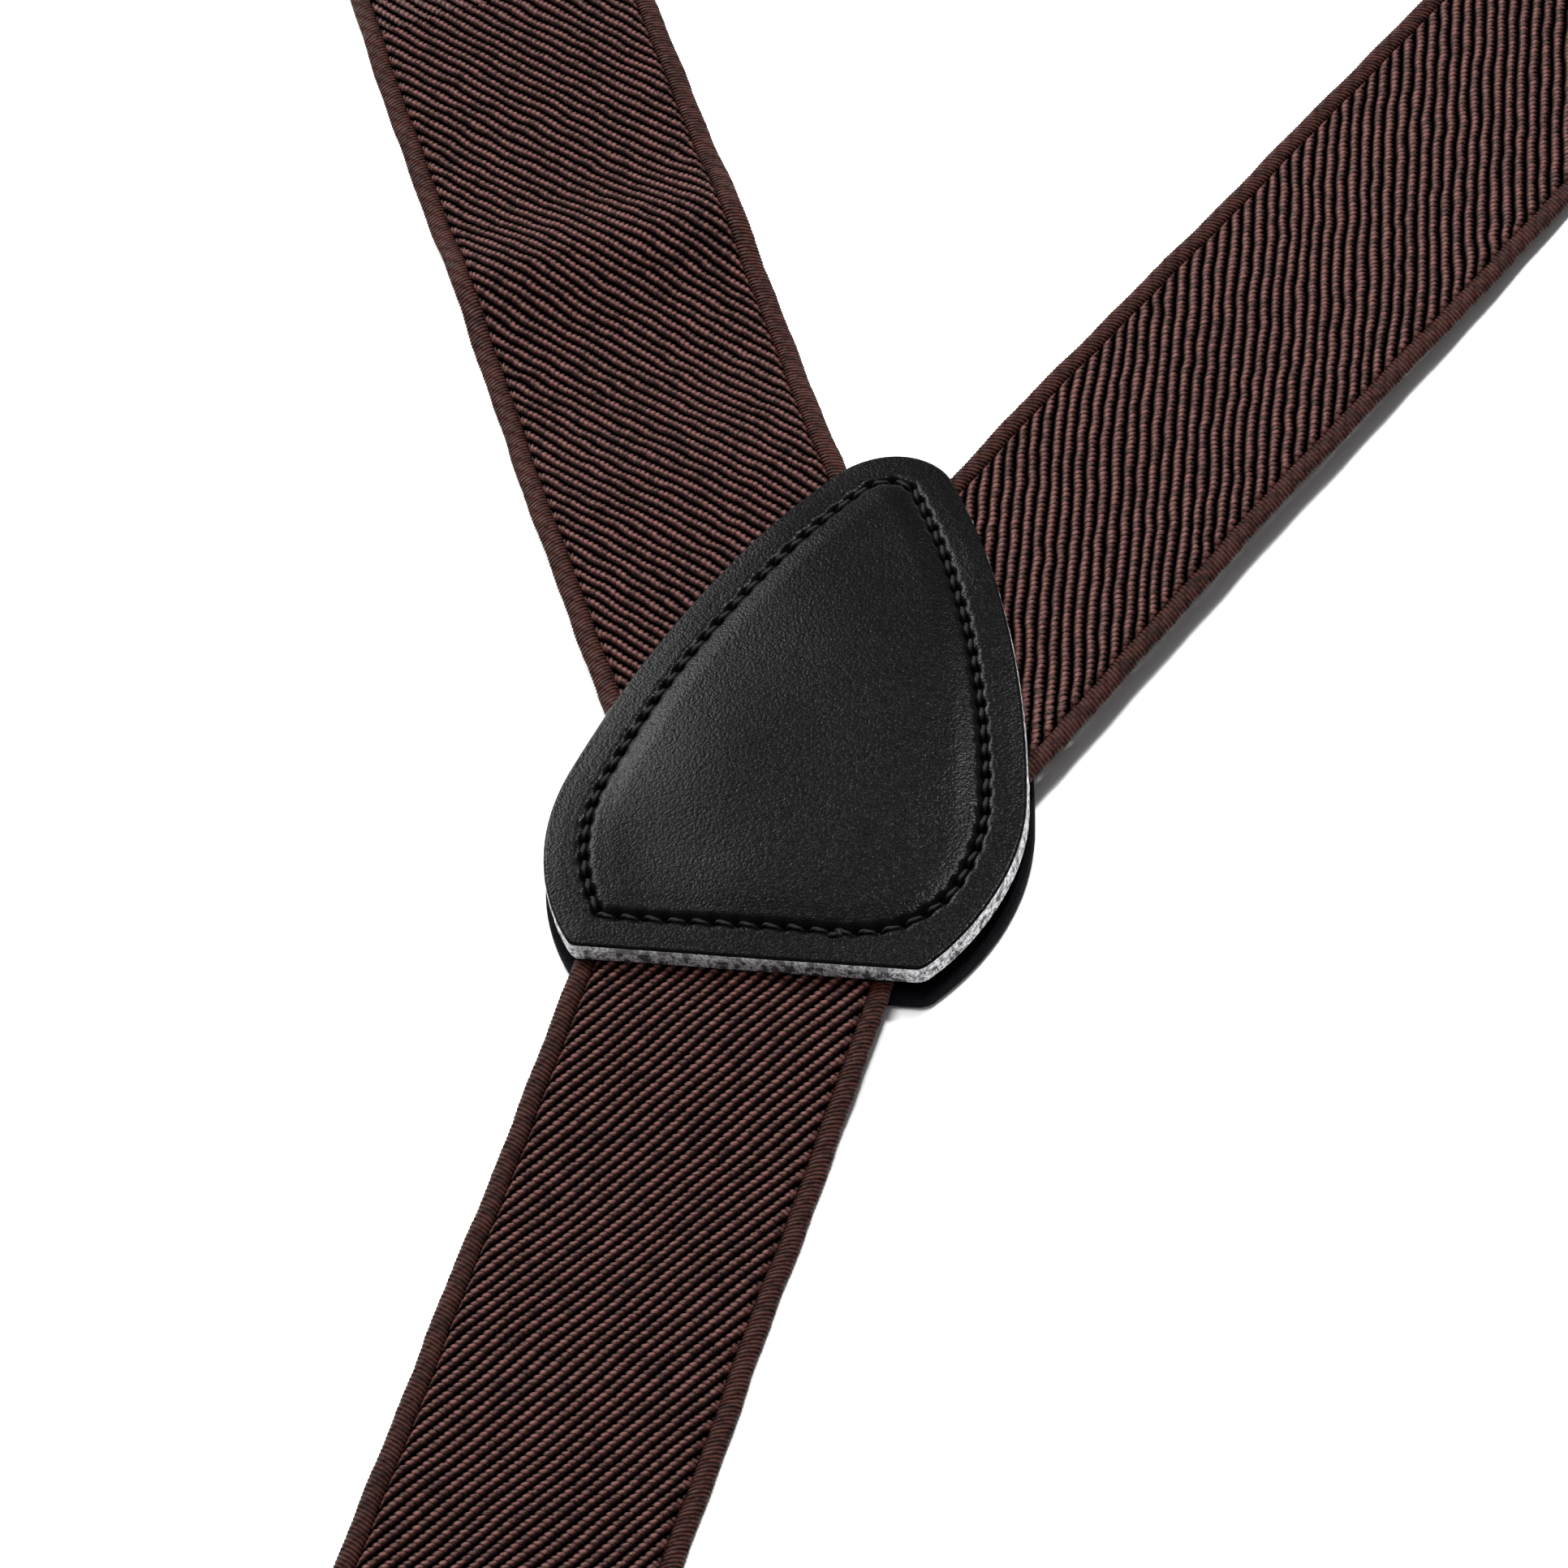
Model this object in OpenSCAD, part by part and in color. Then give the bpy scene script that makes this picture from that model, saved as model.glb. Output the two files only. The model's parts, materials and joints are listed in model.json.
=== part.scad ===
// Y-back suspenders with clip ends, laid flat with the front face up.
// Two shoulder straps and one back strap of elastic webbing meet in a sewn leather yoke.
// Origin: middle of the yoke's underside. +Y points up the yoke to the shoulder straps, +Z up.
// Each strap is drawn in its own frame, with +Y running outward along the strap.

/* [Webbing] */
// Width of the elastic webbing
webbing_w = 35; // [32:0.5:36]
// Thickness of the webbing
webbing_t = 1.4; // [1.2:0.1:1.5]

/* [Yoke] */
// Height of the front leather, from its point to its flat lower edge
yoke_h = 76; // [74:1:80]
// Width of the front leather at its widest
yoke_w = 52; // [51:1:56]
// Thickness of the front leather
front_t = 2; // [1.6:0.1:2.2]
// Thickness of the back leather
back_t = 1.6; // [1.4:0.1:2]
// Distance of the seam from the leather's edge
seam_inset = 4.5; // [4:0.5:6]
// Length of one stitch and the gap after it
stitch_pitch = 2.6; // [2.4:0.1:3.2]

/* [Layout] */
// Angle of the left shoulder strap from the yoke's axis
left_angle = 28; // [24:1:32]
// Angle of the right shoulder strap from the yoke's axis
right_angle = 24; // [20:1:28]
// Angle of the back strap from the yoke's axis
back_angle = 3.5; // [0:0.5:6]
// Distance from the yoke to the bar of a shoulder clip
shoulder_l = 720; // [600:10:800]
// Distance from the yoke to the bar of the back clip
back_l = 250; // [200:10:320]
// Distance from the adjuster's middle to the clip's bar
loop_l = 150; // [120:10:200]

/* [Clip] */
// Length of the clip, from its bar to its mouth
clip_l = 50; // [48:1:56]
// Distance from the clip's bar to its hinge pin
clip_pin_y = 38; // [36:1:40]
// Radius of the clip's hinge pin
clip_pin_r = 1; // [0.8:0.1:1.1]

/* [Adjuster] */
// Length of the adjuster's frame along the strap
adjuster_l = 24; // [24:1:28]
// Radius of the adjuster's hinge pin
adjuster_pin_r = 0.8; // [0.7:0.1:0.9]

/* [Hidden] */
SIDES = ["left", "right", "back"];
SHOULDERS = ["left", "right"];
$fn = 48;

// Finishes
webbing_brown = [0.24, 0.16, 0.14];
leather_black = [0.13, 0.13, 0.13];
thread_black = [0.08, 0.08, 0.08];
nickel = [0.78, 0.78, 0.76];
plastic_black = [0.1, 0.1, 0.11];

// Heights of the layers in the yoke, each with a hair of room above the one below
room = 0.05;
lower_ply_z = back_t + room;
upper_ply_z = lower_ply_z + webbing_t + room;
front_z = upper_ply_z + webbing_t + room;

// Heights where webbing wraps a flat metal bar
plate_t = 1.2;
wrap_room = 0.1;
plate_z = webbing_t + wrap_room;
plate_top = plate_z + plate_t;
over_bar_z = plate_top + wrap_room;
fold_r = over_bar_z / 2;
fold_z = fold_r + webbing_t / 2;
bar_w = 3;
half_t = webbing_t / 2;

// Where each strap's own frame sits, and the strap's ends inside the yoke
strap_offset = [-6.3, 9.6, 0.5];
strap_turn = [left_angle, -right_angle, 180 - back_angle];
shoulder_inner_y = -16;
back_inner_y = 23.5;
adjuster_y = shoulder_l - loop_l;

function index_of(side) = side == "left" ? 0 : side == "right" ? 1 : 2;
function clip_y(side) = side == "back" ? back_l : shoulder_l;

module on_strap(side) {
    i = index_of(side);
    translate([strap_offset[i], 0, 0]) rotate(strap_turn[i]) children();
}

module at_clip(side) {
    on_strap(side) translate([0, clip_y(side), 0]) children();
}

module at_adjuster(side) {
    on_strap(side) translate([0, adjuster_y, 0]) children();
}

// Draws a side profile, given as [along the strap, height], across a width w
module across(w) {
    rotate([90, 0, 90]) linear_extrude(w, center = true) children();
}

// ---- Yoke ----
// The shield outline is a small arc at the point, a long flat arc down each side, a rounder arc
// at each hip and a small corner arc to the flat lower edge. The arcs share tangents, so an
// inset or outset outline keeps the same centres.
tip_r = 8;
side_r = 145;
hip_r = 30;
corner_r = 1.8;
tip_c = [0, yoke_h / 2 - tip_r];
hip_c = [yoke_w / 2 - hip_r, -yoke_h / 4];
tip_to_side = side_r - tip_r;
tip_to_hip = norm(hip_c - tip_c);
side_corner = acos((pow(tip_to_side, 2) + pow(tip_to_hip, 2) - pow(side_r - hip_r, 2))
    / (2 * tip_to_side * tip_to_hip));
tip_hip_dir = atan2(hip_c.y - tip_c.y, hip_c.x - tip_c.x);
side_dir = tip_hip_dir - side_corner;
side_c = tip_c + tip_to_side * [cos(side_dir), sin(side_dir)];
tip_end = side_dir + 180;
side_end = atan2(hip_c.y - side_c.y, hip_c.x - side_c.x);

function corner_radius(inset) = max(corner_r - inset, 0.4);
function corner_centre(inset) = let (
    r = corner_radius(inset),
    y = -yoke_h / 2 + inset + r,
    reach = hip_r - inset - r
) [hip_c.x + sqrt(reach * reach - pow(y - hip_c.y, 2)), y];
function hip_end(inset) = let (c = corner_centre(inset)) atan2(c.y - hip_c.y, c.x - hip_c.x);

function arc(c, r, from, to, steps) =
    [for (i = [0:steps - 1]) let (a = from + (to - from) * i / steps) c + r * [cos(a), sin(a)]];
function half_outline(inset) = concat(
    arc(tip_c, tip_r - inset, 90, tip_end, 6),
    arc(side_c, side_r - inset, tip_end, side_end, 10),
    arc(hip_c, hip_r - inset, side_end, hip_end(inset), 8),
    arc(corner_centre(inset), corner_radius(inset), hip_end(inset), -90, 4),
    [[corner_centre(inset).x, -yoke_h / 2 + inset]]
);
function mirrored(points) = [for (i = [len(points) - 1:-1:1]) [-points[i].x, points[i].y]];
function outline(inset) = let (half = half_outline(inset)) concat(half, mirrored(half));

overhang = 0.9;

module yoke_front_leather() {
    color(leather_black)
        translate([0, 0, front_z]) linear_extrude(front_t) polygon(outline(0));
}

module yoke_back_leather() {
    color(leather_black)
        linear_extrude(back_t) polygon(outline(-overhang));
}

// Marks one stitch as [x, y, direction] at the middle of each step along an arc or a line
function arc_marks(c, r, from, to) = let (
    steps = round(abs(to - from) * PI / 180 * r / stitch_pitch)
) [for (i = [0:steps - 1]) let (a = from + (to - from) * (i + 0.5) / steps)
    [c.x + r * cos(a), c.y + r * sin(a), a + 90]];
function line_marks(from, to) = let (
    steps = round(norm(to - from) / stitch_pitch),
    dir = atan2(to.y - from.y, to.x - from.x)
) [for (i = [0:steps - 1]) let (p = from + (to - from) * (i + 0.5) / steps) [p.x, p.y, dir]];
function flipped(marks) = [for (m = marks) [-m.x, m.y, 180 - m.z]];

half_seam = concat(
    arc_marks(side_c, side_r - seam_inset, tip_end, side_end),
    arc_marks(hip_c, hip_r - seam_inset, side_end, hip_end(seam_inset))
);
seam_corner = [corner_centre(seam_inset).x, -yoke_h / 2 + seam_inset];
seam = concat(
    arc_marks(tip_c, tip_r - seam_inset, 180 - tip_end, tip_end),
    half_seam,
    flipped(half_seam),
    line_marks([-seam_corner.x, seam_corner.y], seam_corner)
);

thread_w = 0.7;
thread_h = 0.25;
stitch_l = 0.72 * stitch_pitch;

module stitch(mark) {
    translate([mark.x, mark.y, 0]) rotate(mark.z)
        translate([-stitch_l / 2, -thread_w / 2, 0]) cube([stitch_l, thread_w, thread_h]);
}

module yoke_stitching() {
    color(thread_black)
        translate([0, 0, front_z + front_t]) for (m = seam) stitch(m);
}

// ---- Webbing ----
// A route is the webbing's middle line, as [along the strap, height] points.
function direction_at(route, i) = let (
    a = route[max(i - 1, 0)],
    b = route[min(i + 1, len(route) - 1)]
) (b - a) / norm(b - a);
function face_of(route, side) = [for (i = [0:len(route) - 1])
    let (d = direction_at(route, i)) route[i] + side * half_t * [-d.y, d.x]];
function reversed(points) = [for (i = [len(points) - 1:-1:0]) points[i]];

module webbing(route) {
    color(webbing_brown)
        across(webbing_w) polygon(concat(face_of(route, -1), reversed(face_of(route, 1))));
}

function raised(points) = [for (p = points) [p.x, p.y + half_t]];

// Main ply of a shoulder strap: yoke, floor, over the adjuster's bed, on the loop, clip's bar
tail_l = 32;
bed_z = over_bar_z + webbing_t + wrap_room;
on_tail_z = 2 * webbing_t + 3 * room;
floor_end = 45;
bed_half = 14;
function shoulder_route(inner_z, leave, touch) = raised([
    [shoulder_inner_y, inner_z], [leave, inner_z], [touch, 0],
    [adjuster_y - floor_end, 0], [adjuster_y - bed_half, bed_z], [adjuster_y + bed_half - 1, bed_z],
    [adjuster_y + tail_l + 1, on_tail_z], [adjuster_y + tail_l + bed_half, plate_z],
    [shoulder_l - bed_half, plate_z], [shoulder_l - bar_w, over_bar_z],
    [shoulder_l + bar_w, over_bar_z]
]);

// Distances along a strap where it leaves the yoke's height and where it touches the floor. The
// left strap drops to the floor beside the yoke; the right strap, sewn on top, stays raised.
left_drop = [38, 60];
right_drop = [45, 200];
back_drop = [44, 66];

module left_strap() {
    on_strap("left") webbing(shoulder_route(lower_ply_z, left_drop[0], left_drop[1]));
}

module right_strap() {
    on_strap("right") webbing(shoulder_route(upper_ply_z, right_drop[0], right_drop[1]));
}

back_tail_l = 24;

module back_strap() {
    on_strap("back") webbing(raised([
        [back_inner_y, lower_ply_z], [back_drop[0], lower_ply_z], [back_drop[1], 0],
        [back_l - back_tail_l - 20, 0], [back_l - back_tail_l - 3, plate_z],
        [back_l - bed_half + 2, plate_z], [back_l - bar_w, over_bar_z], [back_l + bar_w, over_bar_z]
    ]));
}

// Half turn of the webbing round the clip's bar, from the top ply to the bottom ply. Both of its
// ends are level, so it meets the plies face to face.
fold_y = bar_w + 0.3;
clip_fold = concat([[bar_w, fold_z + fold_r]], arc([fold_y, fold_z], fold_r, 90, -90, 8));

// Return ply of a shoulder strap, from the clip's bar back under the strap to the adjuster
module strap_loop() {
    webbing(concat(clip_fold, [[fold_y, half_t], [adjuster_bar_y + bar_w - loop_l, half_t]]));
}

// Sewn end of a shoulder strap: it wraps the adjuster's bar and lies on the return ply
adjuster_bar_y = adjuster_l / 2 - bar_w;
adjuster_fold = arc([adjuster_bar_y, fold_z], fold_r, -90, -270, 8);

module shoulder_tail() {
    webbing(concat(
        [[adjuster_bar_y + bar_w, half_t]],
        adjuster_fold,
        [[adjuster_bar_y, over_bar_z + half_t], [adjuster_bar_y + bar_w + 0.5, over_bar_z + half_t]],
        raised([[adjuster_l / 2 + 5, webbing_t + room], [tail_l, webbing_t + room]])
    ));
}

// Sewn end of the back strap: it wraps the clip's bar and lies under the strap
module back_tail() {
    webbing(concat(clip_fold, [[fold_y, half_t], [-back_tail_l, half_t]]));
}

module strap_tail(side) {
    if (side == "back") at_clip(side) back_tail();
    else at_adjuster(side) shoulder_tail();
}

// Box of stitches, w across the strap and l along it
module stitch_box(w, l) {
    a = [-w / 2, 0];
    b = [w / 2, 0];
    c = [w / 2, l];
    d = [-w / 2, l];
    for (m = concat(line_marks(a, b), line_marks(c, d), line_marks(d, a), line_marks(b, c)))
        stitch(m);
}

box_w = 27;
box_l = 10;
box_margin = 3;

module tail_stitching(side) {
    color(thread_black)
        if (side == "back")
            at_clip(side) translate([0, box_margin / 2 - back_tail_l, plate_z + webbing_t])
                stitch_box(box_w, box_l);
        else
            at_adjuster(side) translate([0, tail_l - box_l - box_margin, 2 * webbing_t + room])
                stitch_box(box_w, box_l);
}

// ---- Clip ----
// Drawn from the inner edge of its bar at the origin, with its mouth towards +Y
slot_w = webbing_w + 1.5;
slot_l = 4.5;
loop_arm = 2.2;
clip_w = slot_w + 2 * loop_arm;
clip_pin_z = 8.2;
ear_in = webbing_w / 2 + 1.1;
ear_t = 1.2;
ear_r = 3;
lever_half = ear_in - 0.3;
lever_front = 9;
lever_back = 2.4;
lever_bottom = 1;
overlap = 0.2;
base_r = 8;
rim_end = 10;
neck_l = 5.5;
cover_r = 5;
nose_z = -2.4;
nose_front = 1.8;
nose_t = 0.9;
disc_r = 2.6;
liner_from = clip_pin_y - 7;
liner_t = 0.9;
ridge_h = 0.5;
ridge_pitch = 1.6;
running = 0.06;

// Rectangle w wide from y = 0 to l, with its far corners rounded by r
module tongue(w, l, r) {
    translate([-w / 2, 0]) square([w, l - r]);
    translate([-w / 2 + r, 0]) square([w - 2 * r, l]);
    for (s = [-1, 1]) translate([s * (w / 2 - r), l - r]) circle(r);
}

// Pin hole or pin across the part, at [along the strap, height]
module cross_rod(at, r, l) {
    translate([0, at.x, at.y]) rotate([0, 90, 0]) cylinder(r = r, h = l, center = true);
}

module mirrored_pair() {
    children();
    mirror([1, 0, 0]) children();
}

module clip_base() {
    pin = [clip_pin_y, clip_pin_z];
    color(nickel) difference() {
        union() {
            translate([0, 0, plate_z]) linear_extrude(plate_t) tongue(clip_w, clip_l, base_r);
            // Turned-down rims that the clip rests on
            mirrored_pair()
                translate([clip_w / 2 - ear_t, rim_end, 0])
                    cube([ear_t, clip_l - 2 * rim_end, plate_z + overlap]);
            // Ears that hold the hinge pin
            mirrored_pair()
                translate([ear_in + ear_t / 2, 0, 0]) across(ear_t) {
                    translate([pin.x - ear_r - 1, plate_z])
                        square([2 * ear_r + 2, pin.y - plate_z - 1]);
                    translate([pin.x - ear_r, plate_z]) square([2 * ear_r, pin.y - plate_z]);
                    translate(pin) circle(ear_r);
                }
        }
        translate([-slot_w / 2, bar_w, 0]) cube([slot_w, slot_l, 2 * plate_top]);
        cross_rod(pin, clip_pin_r, 2 * clip_w);
    }
}

module clip_pin() {
    color(nickel) cross_rod([clip_pin_y, clip_pin_z], clip_pin_r, 2 * (ear_in + ear_t) + 0.8);
}

// Toothed plastic liner on the base, under the jaw
module clip_liner() {
    l = clip_l - 1.5 - liner_from;
    teeth = floor(l / ridge_pitch);
    ridges = [for (i = [0:2 * teeth]) [l - i * ridge_pitch / 2, liner_t + (i % 2) * ridge_h]];
    color(plastic_black) translate([0, liner_from, plate_top])
        across(2 * ear_in - 3) polygon(concat([[0, 0], [l, 0]], ridges, [[0, liner_t]]));
}

// Flip lever: a cover over the clip, with side discs on the pin and a nose that carries the grip
module clip_lever() {
    cover_l = clip_pin_y - lever_front - neck_l;
    deep = lever_bottom + overlap;
    color(nickel) translate([0, clip_pin_y, clip_pin_z]) difference() {
        union() {
            translate([0, -neck_l, lever_bottom]) rotate(180) linear_extrude(plate_t)
                tongue(clip_w, cover_l, cover_r);
            translate([-lever_half, -neck_l - 0.5, lever_bottom])
                cube([2 * lever_half, neck_l + 0.5 + lever_back, plate_t]);
            translate([-lever_half, lever_back - plate_t, nose_z])
                cube([2 * lever_half, plate_t, deep - nose_z]);
            translate([-lever_half, -nose_front, nose_z])
                cube([2 * lever_half, nose_front + lever_back, nose_t]);
            mirrored_pair() translate([lever_half - ear_t / 2, 0, 0]) across(ear_t) {
                circle(disc_r);
                translate([-neck_l - 0.5, -ear_t]) square([neck_l + 0.5, ear_t + deep]);
            }
            // Turned-down edges of the cover
            mirrored_pair() translate([clip_w / 2 - ear_t, cover_r - neck_l - cover_l, -ear_t])
                cube([ear_t, cover_l - cover_r, ear_t + deep]);
        }
        cross_rod([0, 0], clip_pin_r + running, 2 * clip_w);
    }
}

// Toothed plastic grip under the lever's nose
module clip_grip() {
    color(plastic_black) translate([0, clip_pin_y, clip_pin_z]) across(2 * lever_half - 3)
        polygon([[-1.8, -2.4], [-1.8, -3.1], [-1.2, -3.7], [-0.6, -3.2], [0, -3.85], [0.6, -3.2],
            [1.2, -3.6], [1.8, -2.9], [1.8, -2.4]]);
}

// ---- Adjuster ----
// Drawn from the middle of its frame on the floor, with the clip towards +Y
wall_in = webbing_w / 2 + 1;
wall_t = 1.2;
adjuster_pin = [-adjuster_l / 2 + 3.5, 8];
knuckle_r = 1.8;
lever_t = 1.2;
cover_z = adjuster_pin.y + knuckle_r - lever_t;
bed_y = adjuster_pin.x + 0.5;
bed_l = 3;
tooth_l = 2;
tooth_pitch = 2;
eye_r = 2;
window_l = 5;
lever_room = 0.3;
adjuster_r = 4;

module adjuster_frame() {
    l = adjuster_l;
    color(nickel) difference() {
        union() {
            translate([-wall_in - overlap, -l / 2, plate_z])
                cube([2 * (wall_in + overlap), l, plate_t]);
            mirrored_pair() translate([wall_in + wall_t / 2, 0, 0]) across(wall_t) {
                translate([-l / 2, 0]) square([l, adjuster_pin.y - eye_r - 1]);
                translate([adjuster_pin.x - eye_r, 0]) square([2 * eye_r, adjuster_pin.y]);
                translate(adjuster_pin) circle(eye_r);
            }
            // Raised bed that the teeth press the strap against
            translate([-webbing_w / 2, bed_y, plate_top - overlap])
                cube([webbing_w, bed_l, bed_z - wrap_room - plate_top + overlap]);
        }
        // Window for the sewn end, which leaves the bar along the clip's side
        translate([-webbing_w / 2 - 0.5, adjuster_bar_y - window_l, 0])
            cube([webbing_w + 1, window_l, 2 * plate_top]);
        cross_rod(adjuster_pin, adjuster_pin_r, 2 * clip_w);
    }
}

module adjuster_pin_rod() {
    color(nickel) cross_rod(adjuster_pin, adjuster_pin_r, 2 * (wall_in + wall_t) + 0.6);
}

// Row of pointed teeth across the strap, hanging down from height 0 by h
module comb(h) {
    count = floor((webbing_w - 2) / tooth_pitch);
    rotate([90, 0, 0]) linear_extrude(tooth_l, center = true)
        polygon(concat(
            [[-count * tooth_pitch / 2, 0.5]],
            [for (i = [0:2 * count]) [(i - count) * tooth_pitch / 2, i % 2 == 0 ? -h / 2 : -h]],
            [[count * tooth_pitch / 2, 0.5]]
        ));
}

// Flip lever of the adjuster: a cover plate with a knuckle on the pin and teeth below it
module adjuster_lever() {
    teeth_z = adjuster_pin.y - 1;
    half = wall_in - lever_room;
    color(nickel) difference() {
        union() {
            cross_rod(adjuster_pin, knuckle_r, 2 * half);
            translate([-half, adjuster_pin.x, cover_z]) cube([2 * half, adjuster_r, lever_t]);
            translate([0, adjuster_pin.x + adjuster_r - 0.5, cover_z]) linear_extrude(lever_t)
                tongue(2 * (wall_in + wall_t), adjuster_l - 3, adjuster_r);
            // Web that carries the teeth
            translate([-webbing_w / 2 + 1, adjuster_pin.x + 1, teeth_z])
                cube([webbing_w - 2, tooth_l, cover_z - teeth_z + overlap]);
            translate([0, adjuster_pin.x + 1 + tooth_l / 2, teeth_z])
                comb(teeth_z - bed_z - webbing_t - room);
        }
        cross_rod(adjuster_pin, adjuster_pin_r + running, 2 * clip_w);
    }
}

yoke_front_leather();
yoke_back_leather();
yoke_stitching();
left_strap();
right_strap();
back_strap();

for (side = SIDES) {
    strap_tail(side);
    tail_stitching(side);
    at_clip(side) clip_base();
    at_clip(side) clip_pin();
    at_clip(side) clip_liner();
    at_clip(side) clip_lever();
    at_clip(side) clip_grip();
}

for (side = SHOULDERS) {
    at_clip(side) strap_loop();
    at_adjuster(side) adjuster_frame();
    at_adjuster(side) adjuster_pin_rod();
    at_adjuster(side) adjuster_lever();
}
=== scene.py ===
"""Y-back suspenders: elastic twill webbing, a stitched leather yoke, adjusters and clips.

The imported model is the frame. Everything new is built in the same place, in metres. Each strap
has a frame of its own, with X across it, Y outward along it and Z up, and its shape is worked
out there in millimetres.
"""

import json
import logging
import math
from dataclasses import dataclass, field
from enum import Enum
from typing import Callable

import bmesh
import bpy
import numpy as np
from mathutils import Matrix, Vector


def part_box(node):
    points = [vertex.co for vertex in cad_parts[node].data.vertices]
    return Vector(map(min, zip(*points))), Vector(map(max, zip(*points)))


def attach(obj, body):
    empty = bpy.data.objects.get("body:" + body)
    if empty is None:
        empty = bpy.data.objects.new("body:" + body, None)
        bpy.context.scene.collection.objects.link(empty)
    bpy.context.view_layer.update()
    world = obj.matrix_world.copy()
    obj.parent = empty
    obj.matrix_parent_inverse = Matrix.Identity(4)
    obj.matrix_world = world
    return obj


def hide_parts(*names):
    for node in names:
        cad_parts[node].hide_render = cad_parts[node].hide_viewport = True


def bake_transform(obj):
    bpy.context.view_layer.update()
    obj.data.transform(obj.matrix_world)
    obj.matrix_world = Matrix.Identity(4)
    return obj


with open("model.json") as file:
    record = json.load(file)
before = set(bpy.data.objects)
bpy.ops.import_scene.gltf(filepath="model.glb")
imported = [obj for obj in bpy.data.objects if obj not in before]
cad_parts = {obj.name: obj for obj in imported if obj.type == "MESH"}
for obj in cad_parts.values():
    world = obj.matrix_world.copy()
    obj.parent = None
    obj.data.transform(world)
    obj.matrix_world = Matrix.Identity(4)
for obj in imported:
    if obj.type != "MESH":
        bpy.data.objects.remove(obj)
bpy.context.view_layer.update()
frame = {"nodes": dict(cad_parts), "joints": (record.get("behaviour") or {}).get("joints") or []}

LOG = logging.getLogger("suspenders")
MM = 0.001
SEED = 7
BLACK = (0, 0, 0, 1)
Array = np.ndarray
Colour = tuple[float, float, float, float]
Socket = bpy.types.NodeSocket
Value = Socket | float | tuple


class Side(Enum):
    """The three straps, as seen from the front face with the shoulders up."""

    LEFT = "left"
    RIGHT = "right"
    BACK = "back"

    @property
    def slant(self) -> int:
        """Which way its ribs lean: the back strap's lean the other way from the shoulders'."""
        return 1 if self is Side.BACK else -1


class Part(Enum):
    """Kinds of finish for new pieces."""

    WEBBING = "webbing"
    LEATHER = "leather"
    THREAD = "thread"
    NICKEL = "nickel"
    PLASTIC = "plastic"


# ---------------------------------------------------------------- shaping helpers


def smooth(x: Array | float, low: float, high: float) -> Array:
    """Rise from 0 to 1 between low and high with level ends.

    Args:
        x: Where to read the rise.
        low: Value of x where it starts.
        high: Value of x where it ends.

    Returns:
        3t^2 - 2t^3, with t the clipped share of the way from low to high.
    """
    t = np.clip((np.asarray(x, float) - low) / (high - low), 0.0, 1.0)
    return t * t * (3.0 - 2.0 * t)


def bell(x: Array | float, centre: float, width: float) -> Array:
    """Return exp(-((x - centre) / width)^2), a bump of height 1."""
    return np.exp(-(((x - centre) / width) ** 2))


def wave(x: Array, period: float) -> Array:
    """Return the signed distance to the nearest multiple of period, in periods."""
    q = x / period
    return q - np.round(q)


def dome(t: Array, half: float) -> Array:
    """Return sqrt(1 - (t / half)^2) where |t| < half, and 0 outside: a round ridge."""
    return np.sqrt(np.clip(1.0 - (t / half) ** 2, 0.0, 1.0))


def soft_noise(shape: tuple[int, int], cells: tuple[int, int], seed: int) -> Array:
    """Smooth random field between -1 and 1.

    Args:
        shape: Rows and columns of the field.
        cells: Rows and columns of the random lattice that it runs through.
        seed: Start of the random draws.

    Returns:
        A lattice of uniform draws, read between its points with a smoothed bilinear rule.
    """
    draws = np.random.default_rng(seed).uniform(-1, 1, (cells[0] + 2, cells[1] + 2))
    r = np.linspace(0, cells[0], shape[0])
    c = np.linspace(0, cells[1], shape[1])
    i, j = r.astype(int), c.astype(int)
    a = smooth(r - i, 0, 1)[:, None]
    b = smooth(c - j, 0, 1)[None, :]
    low = draws[np.ix_(i, j)] * (1 - b) + draws[np.ix_(i, j + 1)] * b
    high = draws[np.ix_(i + 1, j)] * (1 - b) + draws[np.ix_(i + 1, j + 1)] * b
    return low * (1 - a) + high * a


def grid_faces(rows: int, cols: int, wrap: bool) -> Array:
    """Quads of a grid of vertices numbered row by row.

    Args:
        rows: Number of rows of vertices.
        cols: Number of vertices in each row.
        wrap: Whether the last column joins the first.

    Returns:
        One row of four vertex numbers for each quad.
    """
    n = cols if wrap else cols - 1
    i, j = np.meshgrid(np.arange(rows - 1), np.arange(n), indexing="ij")
    k = (j + 1) % cols
    quads = np.stack([i * cols + j, i * cols + k, (i + 1) * cols + k, (i + 1) * cols + j], -1)
    return quads.reshape(-1, 4)


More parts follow.
